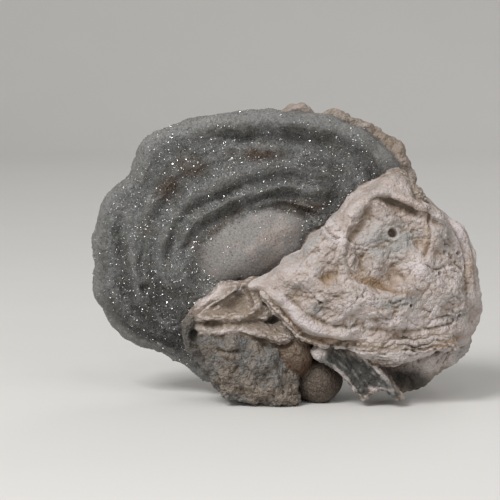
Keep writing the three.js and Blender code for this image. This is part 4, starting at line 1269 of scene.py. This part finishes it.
class Value:
    """A shader socket in an expression: an operator on it adds a Math node."""

    def __init__(self, shader, socket):
        self.shader = shader
        self.socket = socket

    def _math(self, operation, *values):
        return self.shader.node("ShaderNodeMath", {"operation": operation}, values)

    def __add__(self, other):
        return self._math("ADD", self, other)

    def __sub__(self, other):
        return self._math("SUBTRACT", self, other)

    def __rsub__(self, other):
        return self._math("SUBTRACT", other, self)

    def __mul__(self, other):
        return self._math("MULTIPLY", self, other)

    def __pow__(self, other):
        return self._math("POWER", self, other)

    __radd__ = __add__
    __rmul__ = __mul__

    def clamped(self):
        """This value, kept from 0 to 1."""
        return self.shader.node("ShaderNodeClamp", {}, (self,))

    def between(self, low, high):
        """0 at low, 1 at high and smooth between."""
        settings = {"interpolation_type": "SMOOTHSTEP"}
        values = {"Value": self, "From Min": low, "From Max": high}
        return self.shader.node("ShaderNodeMapRange", settings, values)


class Shader:
    """A material's nodes, added by calls."""

    def __init__(self, name):
        self.material = bpy.data.materials.new(name)
        self.material.use_nodes = True
        self.tree = self.material.node_tree
        self.principled = self.tree.nodes["Principled BSDF"]
        self.place = Value(self, self.tree.nodes.new("ShaderNodeTexCoord").outputs["Object"])

    def node(self, kind, settings, values):
        """A node of a type, with its settings, and its sockets given by name or in order."""
        made = self.tree.nodes.new(kind)
        for title, setting in settings.items():
            setattr(made, title, setting)
        pairs = values.items() if isinstance(values, dict) else enumerate(values)
        for key, value in pairs:
            self.feed(made.inputs[key], value)
        return Value(self, made.outputs[0])

    def feed(self, socket, value):
        """Links a socket to a value, or sets it."""
        if isinstance(value, Value):
            self.tree.links.new(value.socket, socket)
        else:
            socket.default_value = (*value, 1) if socket.type == "RGBA" and len(value) == 3 else value

    def noise(self, length, detail=2.0, distortion=0.0):
        """Noise whose features are about the given length in millimetres."""
        scale = (1 / (length * MILLIMETRE),) * 3
        place = self.node("ShaderNodeVectorMath", {"operation": "MULTIPLY"}, (self.place, scale))
        values = {"Vector": place, "Scale": 1.0, "Detail": detail, "Distortion": distortion}
        return self.node("ShaderNodeTexNoise", {}, values)

    def grains(self, length):
        """Distance to scattered points about the given length in millimetres apart."""
        values = {"Vector": self.place, "Scale": 1 / (length * MILLIMETRE)}
        return self.node("ShaderNodeTexVoronoi", {}, values)

    def attribute(self, title):
        """The red, green, blue and alpha of a point attribute."""
        made = self.tree.nodes.new("ShaderNodeAttribute")
        made.attribute_name = title
        parts = self.tree.nodes.new("ShaderNodeSeparateColor")
        self.tree.links.new(made.outputs["Color"], parts.inputs[0])
        return (*(Value(self, parts.outputs[k]) for k in range(3)), Value(self, made.outputs["Alpha"]))

    def mix(self, share, first, second):
        """The first colour, turning into the second as the share goes from 0 to 1."""
        made = self.tree.nodes.new("ShaderNodeMix")
        made.data_type = "RGBA"
        for key, value in ((0, share), (6, first), (7, second)):
            self.feed(made.inputs[key], value)
        return Value(self, made.outputs[2])

    def layered(self, colour, *layers):
        """A colour with others laid over it, each layer as its share and its colour."""
        for share, over in layers:
            colour = self.mix(share, colour, over)
        return colour

    def scaled(self, colour, factor):
        """A colour, made lighter or darker by a factor."""
        values = {"Vector": colour, "Scale": factor}
        return self.node("ShaderNodeVectorMath", {"operation": "SCALE"}, values)

    def finish(self, **sockets):
        """Feeds the Principled BSDF and gives the material."""
        for title, value in sockets.items():
            self.feed(self.principled.inputs[title.replace("_", " ")], value)
        return self.material


class RoseSizes(bpy.types.PropertyGroup):
    """The sizes of the stone and its druse."""

    voxel: FloatProperty(
        name="Skin step", description="Spacing of the stone's points, in millimetres",
        default=0.235, min=0.2, max=2.0,
    )
    triangle_count: IntProperty(
        name="Triangles", description="The most triangles of the stone",
        default=195000, min=1000, max=199000,
    )
    crystal: FloatProperty(
        name="Crystal", description="Half width of a middling crystal of the druse, in millimetres",
        default=0.11, min=0.05, max=0.6,
    )
    crystal_count: IntProperty(
        name="Crystals", description="Number of crystals in each of the druse's pieces",
        default=15000, min=100, max=16000,
    )


def colour_property(name, description, value):
    """A colour that a user can change, in linear light."""
    return FloatVectorProperty(
        name=name, description=description, default=value, size=3, min=0, max=1, subtype="COLOR"
    )


class RoseColours(bpy.types.PropertyGroup):
    """The colours of the stone."""

    grey: colour_property("Grey", "The blade's chalcedony", (0.086, 0.087, 0.083))
    # Pale: partly the blade's pale bands and stains, partly painted highlights on its crests and painted
    # light through its thin rim
    pale: colour_property("Pale", "Thin edges and ridges of the blade", (0.165, 0.162, 0.155))
    blue: colour_property("Blue grey", "Bluish bands and the rolled rim", (0.122, 0.125, 0.124))
    # Deep grey: partly dark bands and stains, partly painted shade in grooves, hollows and under overhangs
    deep: colour_property("Deep grey", "Grooves of the blade", (0.034, 0.032, 0.029))
    # Rust: partly rust-brown stains, partly a painted shadow along the eye's upper left edge
    rust_and_shadow: colour_property("Rust", "Brownish stains on the blade", (0.05, 0.032, 0.02))
    eye: colour_property("Eye", "The blade's smooth eye", (0.224, 0.19, 0.172))
    beige: colour_property("Beige", "The crust", (0.35, 0.292, 0.262))
    # Chalk: partly the crust's pale colour, partly painted highlights on crests and painted light on the lip
    # and the keel's upper facet
    chalk: colour_property("Chalk", "Ridges of the crust", (0.52, 0.462, 0.445))
    ochre: colour_property("Ochre", "Crevices of the crust", (0.26, 0.172, 0.1))
    cream: colour_property("Cream", "Folds and ledges", (0.245, 0.197, 0.157))
    # Olive: painted shade in the deepest hollows
    olive: colour_property("Olive", "Hollows between the folds", (0.09, 0.069, 0.047))
    # Umber: partly a brown in the mottle of the folds, partly painted shade in creases and hollows
    umber: colour_property("Umber", "Creases of the crust and the folds", (0.17, 0.128, 0.096))
    moss: colour_property("Moss", "Olive clouds of the blade", (0.078, 0.073, 0.06))
    lilac: colour_property("Lilac", "Smooth lumps of the crust", (0.53, 0.475, 0.475))
    stone: colour_property("Stone", "The foot's brown", (0.165, 0.141, 0.12))
    frost: colour_property("Frost", "Cold patches of the crust", (0.245, 0.247, 0.24))
    # Knob: its brown, darkened further as painted shade for a low part in shade
    knob: colour_property("Knob", "The smooth knob", (0.068, 0.05, 0.037))
    bud: colour_property("Bud", "The reddish bud", (0.12, 0.084, 0.056))
    # Red: partly the bud's reddish edge, partly painted shade on its underside and in its hollows
    red: colour_property("Red", "The bud's reddish edge", (0.066, 0.031, 0.015))
    # Fracture: its dark grey, darkened further as painted shade on the low fin and on the keel's lower facet
    fracture: colour_property("Fracture", "The broken face of the fin", (0.042, 0.04, 0.035))


# In the colours below, the two numbers of a mask are where it starts and where it is full, and the
# number after it is its strength. Noise takes its length in millimetres, detail and distortion


def broken_up(share, middle):
    """A share of the stains and the patches of painted light and shade, broken up by noise."""
    return (share * 1.5 + (middle - 0.5) * 1.1 - 0.2).clamped()


def patterns(s):
    """What the finishes share: wide and middling noise, the mottle of both, and the stains with the
    patches of painted light and shade.
    """
    wide = s.noise(8.0, 4.0, 0.6)
    middle = s.noise(2.6, 5.0, 0.4)
    stains_and_light = [broken_up(share, middle) for share in s.attribute(STAIN_AND_LIGHT_NAME)]
    return wide, middle, wide + (middle - 0.5) * 0.8, stains_and_light


def blade_colour(s, colours, shared):
    """The blade's colour: bands that follow the growth, stains with patches of painted light and shade,
    painted shade in the grooves and hollows, painted highlights on the crests, a rim that is partly
    paler and partly painted light through the thin edge, and the pinkish eye, with a painted shadow
    along its edge."""
    growth, out, _, _ = s.attribute(GROWTH_NAME)
    near, broad, _, _ = s.attribute(SHAPE_NAME)
    wide, middle, mottle, (rust_and_shadow, deep, pale, blue) = shared
    place = growth * 2 - 1
    ring = s.node("ShaderNodeMath", {"operation": "SINE"}, ((place + (wide - 0.5) * 0.3) * 52.0,))
    cloud = s.noise(4.5, 3.0)
    grey = s.layered(
        colours.grey,
        (mottle.between(0.38, 0.62), colours.blue),
        (cloud.between(0.5, 0.66) * 0.6, colours.moss),
        (cloud.between(0.46, 0.32) * 0.4, colours.pale),
        ((ring * 0.5 + 0.3).clamped() * 0.18, colours.pale),
        ((ring * -0.5 + 0.1).clamped() * 0.25, colours.deep),
        (mottle.between(0.56, 0.72) * 0.3, colours.rust_and_shadow),
        (pale * 0.8, colours.pale),
        (blue * 0.7, colours.blue),
        # Rust-brown stains, with a painted brown shadow along the eye's upper left edge
        (rust_and_shadow, colours.rust_and_shadow),
        # Dark grey stains, with painted shade under the rolled rim and on the lower left
        (deep * 0.9, colours.deep),
        # Painted shade in the grooves and hollows
        ((near.between(0.54, 0.85) * 0.15 + broad.between(0.55, 0.8) * 0.6).clamped(), colours.deep),
        # Painted highlight on the broad crests
        (broad.between(0.47, 0.36) * 0.4, colours.pale),
        # Paler towards the rim: partly its frosted colour, partly painted light through the thin edge
        (out.between(0.91, 0.99) * 0.55, colours.pale),
    )
    eye = s.layered(
        colours.eye,
        (mottle.between(0.38, 0.58) * 0.7, colours.pale),
        # A painted brown shadow where the eye is hollow along its edge, with the rust stains
        ((broad.between(0.52, 0.7) * 0.6 + rust_and_shadow * 0.6).clamped(), colours.rust_and_shadow),
    )
    eye_share = (place * -1.0 + (wide - 0.5) * 0.2 + (middle - 0.5) * 0.15).between(-0.16, 0.3)
    return s.mix(eye_share, grey, eye)


def stone_material(colours):
    """Finishes that follow the point attributes, with noise at several lengths, painted shade in the
    hollows and creases, and painted highlights on the crests.
    """
    s = Shader("chalcedony")
    druse, crust, gnarl, fracture = s.attribute(FINISH_NAMES[0])
    knob, bud, cream, rind = s.attribute(FINISH_NAMES[1])
    _, out, _, _ = s.attribute(GROWTH_NAME)
    near, broad, up, _ = s.attribute(SHAPE_NAME)
    shared = patterns(s)
    _, middle, mottle, (rust_and_shadow, deep, pale, blue) = shared
    small = s.noise(0.9, 4.0)
    tiny = s.noise(0.3, 2.0)
    # Masks of painted shade in the hollows and of painted highlights on the crests
    hollow_shade = near.between(0.54, 0.85)
    crest = near.between(0.48, 0.22)

    beige = s.layered(
        colours.beige,
        (mottle.between(0.42, 0.62) * 0.6, colours.chalk),
        (pale * 0.85, colours.lilac),
        ((blue * 0.8 + mottle.between(0.36, 0.26) * 0.4).clamped(), colours.frost),
        ((rust_and_shadow * 0.75 + broad.between(0.53, 0.72) * 0.5).clamped(), colours.ochre),
        # Painted shade in the creases and hollows
        (near.between(0.53, 0.85) * 0.6, colours.umber),
        (near.between(0.75, 1.0) * 0.6, colours.olive),
        # Painted highlights on the crests
        (crest * 0.4, colours.chalk),
    )
    gnarled = s.layered(
        colours.blue,
        (mottle.between(0.42, 0.6), colours.stone),
        (blue * 0.7, colours.blue),
        (pale * 0.8, colours.cream),
        # Painted shade in the creases and hollows
        (near.between(0.5, 0.7) * 0.5, colours.umber),
        (near.between(0.58, 0.9) * 0.9, colours.olive),
        # Painted highlights on the crests
        (crest * 0.65, colours.cream),
        # Dark stains, with their painted shade
        (deep * 0.6, colours.deep),
    )
    creamy = s.layered(
        colours.cream,
        (mottle.between(0.42, 0.62) * 0.6, colours.umber),
        # Pale stains, with painted light on the lip
        (pale, colours.chalk),
        (rust_and_shadow * 0.6, colours.ochre),
        # Painted shade in the creases and hollows
        ((hollow_shade * 0.6 + broad.between(0.56, 0.85) * 0.5).clamped(), colours.umber),
        (near.between(0.72, 1.0) * 0.7, colours.olive),
        # Painted highlights on the crests
        (crest * 0.6, colours.chalk),
        # Dark stains, with their painted shade
        (deep * 0.85, colours.deep),
    )
    backing = s.layered(
        colours.beige,
        (mottle.between(0.36, 0.56), colours.cream),
        (mottle.between(0.42, 0.3) * 0.5, colours.blue),
        (0.2, colours.umber),
        # Pale stains, with painted light on the keel's upper facet
        (pale * 0.95, colours.chalk),
        (blue * 0.7, colours.frost),
        (rust_and_shadow * 0.7, colours.ochre),
        # Painted shade in the hollows
        ((hollow_shade * 0.6 + broad.between(0.52, 0.75) * 0.4).clamped(), colours.umber),
        # The keel's dark lower facet: partly its dark colour, partly painted shade under the lip
        (deep * 0.89, colours.fracture),
    )
    edge = (pale + (out + (small - 0.5) * 0.16).between(0.86, 0.95)).clamped()
    broken = s.layered(
        colours.fracture,
        (middle.between(0.4, 0.65) * 0.4, colours.grey),
        # Painted highlights on the crests and painted shade in the hollows
        (crest * 0.7, colours.pale),
        (hollow_shade * 0.6, colours.deep),
        (edge, creamy),
    )
    knobbed = s.mix(tiny.between(0.45, 0.65) * 0.3, colours.knob, colours.cream)
    budded = s.layered(
        colours.bud,
        # Redder and darker where the bud faces down and in its hollows: partly its red edge, partly painted
        # shade
        ((up + (middle - 0.5) * 0.5).between(0.56, 0.3), colours.red),
        ((hollow_shade * 0.7 + middle.between(0.55, 0.7) * 0.3).clamped(), colours.red),
    )
    finishes = (
        (crust, beige), (gnarl, gnarled), (fracture, broken), (knob, knobbed), (bud, budded),
        (cream, creamy), (rind, backing),
    )
    colour = s.layered(
        blade_colour(s, colours, shared),
        *(((share + (small - 0.5) * 0.7).between(0.35, 0.65), finish) for share, finish in finishes),
    )
    colour = s.scaled(colour, 1.0 + (tiny - 0.5) * (0.5 + druse))

    roughness = 0.82 - druse * 0.2 - knob * 0.1 - bud * 0.35 + (small - 0.5) * 0.2
    pricked = s.grains(0.9) ** 2.0 * -0.9 + s.grains(0.45) ** 2.0 * -0.6
    height = (pricked + tiny * 0.3 + small * 0.5) * (1.0 - druse * 0.8 + gnarl * 0.8)
    values = {"Strength": 1.0, "Distance": GRAIN_HEIGHT, "Height": height}
    bump = s.node("ShaderNodeBump", {}, values)
    return s.finish(Base_Color=colour, Roughness=roughness.clamped(), Normal=bump)


def druse_material(colours):
    """Glossy quartz crystals that show the blade's colour, with its painted light and shade, lighter in
    some than in others.
    """
    s = Shader("druse")
    shade = 0.55 + s.noise(0.25, 1.0) * 0.95
    return s.finish(
        Base_Color=s.scaled(blade_colour(s, colours, patterns(s)), shade), Roughness=0.06,
        IOR=1.544, Transmission_Weight=0.1, Specular_IOR_Level=0.9,
    )


def stage_material(name, colour):
    """A matt pale ground with a faint unevenness."""
    s = Shader(name)
    tone = s.mix(s.noise(40.0, 2.0), colour, tuple(0.97 * c for c in colour))
    return s.finish(Base_Color=tone, Roughness=0.85)


class ROSE_OT_stone(bpy.types.Operator):
    """Makes the stone over its solid"""

    bl_idname = "rose.stone"
    bl_label = "Stone"

    def execute(self, context):
        sizes = context.scene.rose_sizes
        shells = list(stone_shells(SHELL_STEP * sizes.voxel))
        skinned = grown_together(shells, sizes.voxel)
        points, finish, growth, shape, stain_and_light = worn_stone(skinned)
        names = (*FINISH_NAMES, GROWTH_NAME, SHAPE_NAME, STAIN_AND_LIGHT_NAME)
        attributes = zip(names, (*finish, growth, shape, stain_and_light))
        placed = (points - MIDDLE) * MILLIMETRE
        mesh = thinned("stone", placed, read_triangles(skinned), attributes, sizes.triangle_count)
        mesh.shade_smooth()
        mesh.materials.append(stone_material(context.scene.rose_colours))
        stone = linked("stone", mesh)
        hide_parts(NODE)
        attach(stone, "root")
        return {"FINISHED"}


def crystal_points():
    """The eight points and twelve faces of a six-sided double pyramid of half width 1."""
    turn = np.arange(6) / 6 * TURN
    girdle = np.stack([np.cos(turn), np.sin(turn), np.zeros(6)], axis=1)
    points = np.vstack([girdle, [[0, 0, CRYSTAL_TIP], [0, 0, -CRYSTAL_TIP]]])
    i = np.arange(6)
    after = (i + 1) % 6
    top = np.stack([i, after, np.full(6, 6)], axis=1)
    bottom = np.stack([after, i, np.full(6, 7)], axis=1)
    return points, np.vstack([top, bottom])


def scattered_crystals(stone, count, half, low, high, seed):
    """Double pyramids on the blade's face between two places in X, with the stone's attributes.
    Their spots are drawn by area, fewer in the eye and at the rim, and each leans at random from
    the stone's normal."""
    random = np.random.default_rng(seed)
    mesh = stone.data
    points = read_points(mesh)
    triangles = read_triangles(mesh)
    normals = point_normals(points, triangles)
    weight = read_attribute(mesh, FINISH_NAMES[0])[:, 0]
    growth = read_attribute(mesh, GROWTH_NAME)
    face = growth[:, 2]
    a, b, c = (points[triangles[:, k]] for k in range(3))
    area = np.linalg.norm(np.cross(b - a, c - a), axis=1) / 2
    middle = (a + b + c) / 3
    bare = (weight * (face > FACE_LEAST))[triangles].mean(1)
    place = 2 * growth[:, 0][triangles].mean(1) - 1
    reach = growth[:, 1][triangles].mean(1)
    area = area * (bare > DRUSE_LEAST) * (middle[:, 0] >= low) * (middle[:, 0] < high)
    area = area * (EYE_SHARE + (1 - EYE_SHARE) * step(*EYE_FADE, place))
    area = area * (1 - (1 - RIM_SHARE) * step(*RIM_FADE, reach))
    chosen = random.choice(len(triangles), count, p=area / area.sum())
    u, v = random.random((2, count))
    flip = u + v > 1
    u, v = np.where(flip, 1 - u, u), np.where(flip, 1 - v, v)
    spot = a[chosen] + u[:, None] * (b - a)[chosen] + v[:, None] * (c - a)[chosen]
    axis = normals[triangles[chosen, 0]] + CRYSTAL_LEAN * random.normal(size=(count, 3))
    axis /= np.linalg.norm(axis, axis=1, keepdims=True)
    side = np.cross(axis, random.normal(size=(count, 3)))
    side /= np.linalg.norm(side, axis=1, keepdims=True)
    other = np.cross(axis, side)
    size = half * MILLIMETRE * np.exp(CRYSTAL_SPREAD * random.normal(size=count))
    shape, faces = crystal_points()
    turned = (
        shape[None, :, 0, None] * side[:, None] + shape[None, :, 1, None] * other[:, None]
        + shape[None, :, 2, None] * axis[:, None]
    )
    made = spot[:, None] + size[:, None, None] * turned
    index = faces[None] + (np.arange(count) * len(shape))[:, None, None]
    taken = [
        (title, np.repeat(read_attribute(mesh, title)[triangles[chosen, 0]], len(shape), axis=0))
        for title in (GROWTH_NAME, SHAPE_NAME, STAIN_AND_LIGHT_NAME)
    ]
    return made.reshape(-1, 3), index.reshape(-1, 3), taken


class ROSE_OT_druse(bpy.types.Operator):
    """Grows small quartz crystals on the blade's face"""

    bl_idname = "rose.druse"
    bl_label = "Druse"

    def execute(self, context):
        sizes = context.scene.rose_sizes
        stone = bpy.data.objects["stone"]
        material = druse_material(context.scene.rose_colours)
        for i, (low, high) in enumerate(zip(DRUSE_BOUNDS, DRUSE_BOUNDS[1:])):
            grown = scattered_crystals(stone, sizes.crystal_count, sizes.crystal, low, high, i + 1)
            mesh = mesh_from(f"druse_{i + 1}", *grown)
            mesh.materials.append(material)
            piece = linked(mesh.name, mesh)
            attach(piece, "root")
        return {"FINISHED"}


def backdrop_mesh():
    """A floor that sweeps up into a wall: a profile of a level line, a quarter circle and an
    upright, carried along X."""
    turn = np.linspace(0, math.pi / 2, 24)
    y = GROUND_BACK + GROUND_BEND * np.sin(turn)
    z = GROUND_BEND * (1 - np.cos(turn))
    profile = np.vstack([[[GROUND_FRONT, 0]], np.stack([y, z], axis=1), [[y[-1], GROUND_TOP]]])
    x = np.linspace(-GROUND_SIDE, GROUND_SIDE, 5)
    grid = np.stack(np.broadcast_arrays(x[None], profile[:, :1], profile[:, 1:]), axis=2)
    index = np.arange(grid.shape[0] * grid.shape[1]).reshape(grid.shape[:2])
    faces = np.stack([index[:-1, :-1], index[:-1, 1:], index[1:, 1:], index[1:, :-1]], axis=-1)
    return mesh_from("backdrop", grid.reshape(-1, 3), faces.reshape(-1, 4))


def add_light(name, place, size, watts):
    """A square area light that faces the lit point."""
    data = bpy.data.lights.new(name, "AREA")
    data.size = size
    data.energy = watts
    light = linked(name, data)
    light.location = place
    light.rotation_euler = (Vector(LIT_POINT) - Vector(place)).to_track_quat("-Z", "Y").to_euler()


class ROSE_OT_stage(bpy.types.Operator):
    """Makes the pale floor, the lights and the camera"""

    bl_idname = "rose.stage"
    bl_label = "Stage"

    def execute(self, context):
        scene = context.scene
        scene.view_settings.view_transform = "Standard"
        backdrop = linked("backdrop", backdrop_mesh())
        backdrop.data.shade_smooth()
        backdrop.data.materials.append(stage_material("pale_ground", GROUND_COLOUR))
        world = bpy.data.worlds.new("pale_room")
        world.use_nodes = True
        background = world.node_tree.nodes["Background"]
        background.inputs["Color"].default_value = (*ROOM_COLOUR, 1)
        background.inputs["Strength"].default_value = ROOM_STRENGTH
        scene.world = world
        for name, (place, size, watts) in LAMPS.items():
            add_light(name, place, size, watts)
        for i in range(GLINT_COUNT):
            turn = (i - (GLINT_COUNT - 1) / 2) * GLINT_TURN
            rise = GLINT_RISE[i % len(GLINT_RISE)]
            level = math.cos(rise)
            way = Vector((math.sin(turn) * level, -math.cos(turn) * level, math.sin(rise)))
            place = Vector(LIT_POINT) + way * GLINT_DISTANCE
            add_light(f"glint_{i + 1}", place, GLINT_SIZE, GLINT_WATTS)
        target = (Vector(VIEW_MIDDLE) - Vector(MIDDLE)) * MILLIMETRE
        ahead = Vector((0, math.cos(VIEW_ELEVATION), -math.sin(VIEW_ELEVATION)))
        data = bpy.data.cameras.new("camera")
        data.sensor_width = SENSOR
        data.lens = SENSOR * VIEW_DISTANCE / VIEW_WIDTH
        data.clip_start = NEAREST
        camera = linked("camera", data)
        camera.location = target - ahead * VIEW_DISTANCE * MILLIMETRE
        camera.rotation_euler = ahead.to_track_quat("-Z", "Y").to_euler()
        scene.camera = camera
        return {"FINISHED"}


class ROSE_PT_panel(bpy.types.Panel):
    """The rose's sizes and colours, and what makes it"""

    bl_idname = "ROSE_PT_panel"
    bl_label = "Chalcedony rose"
    bl_space_type = "VIEW_3D"
    bl_region_type = "UI"
    bl_category = "Rose"

    def draw(self, context):
        for group in (context.scene.rose_sizes, context.scene.rose_colours):
            for title in group.bl_rna.properties.keys():
                if title not in ("rna_type", "name"):
                    self.layout.prop(group, title)
        for operator in OPERATORS:
            self.layout.operator(operator.bl_idname)


OPERATORS = (ROSE_OT_stage, ROSE_OT_stone, ROSE_OT_druse)
CLASSES = (RoseSizes, RoseColours, *OPERATORS, ROSE_PT_panel)


def register():
    """Registers the classes and puts the sizes and colours on the scene."""
    for made in CLASSES:
        bpy.utils.register_class(made)
    bpy.types.Scene.rose_sizes = PointerProperty(type=RoseSizes)
    bpy.types.Scene.rose_colours = PointerProperty(type=RoseColours)


def unregister():
    """Takes them away again."""
    del bpy.types.Scene.rose_colours
    del bpy.types.Scene.rose_sizes
    for made in reversed(CLASSES):
        bpy.utils.unregister_class(made)


def main():
    """Makes the stage, the stone and its druse."""
    register()
    bpy.ops.rose.stage()
    bpy.ops.rose.stone()
    bpy.ops.rose.druse()


if __name__ == "__main__":
    main()
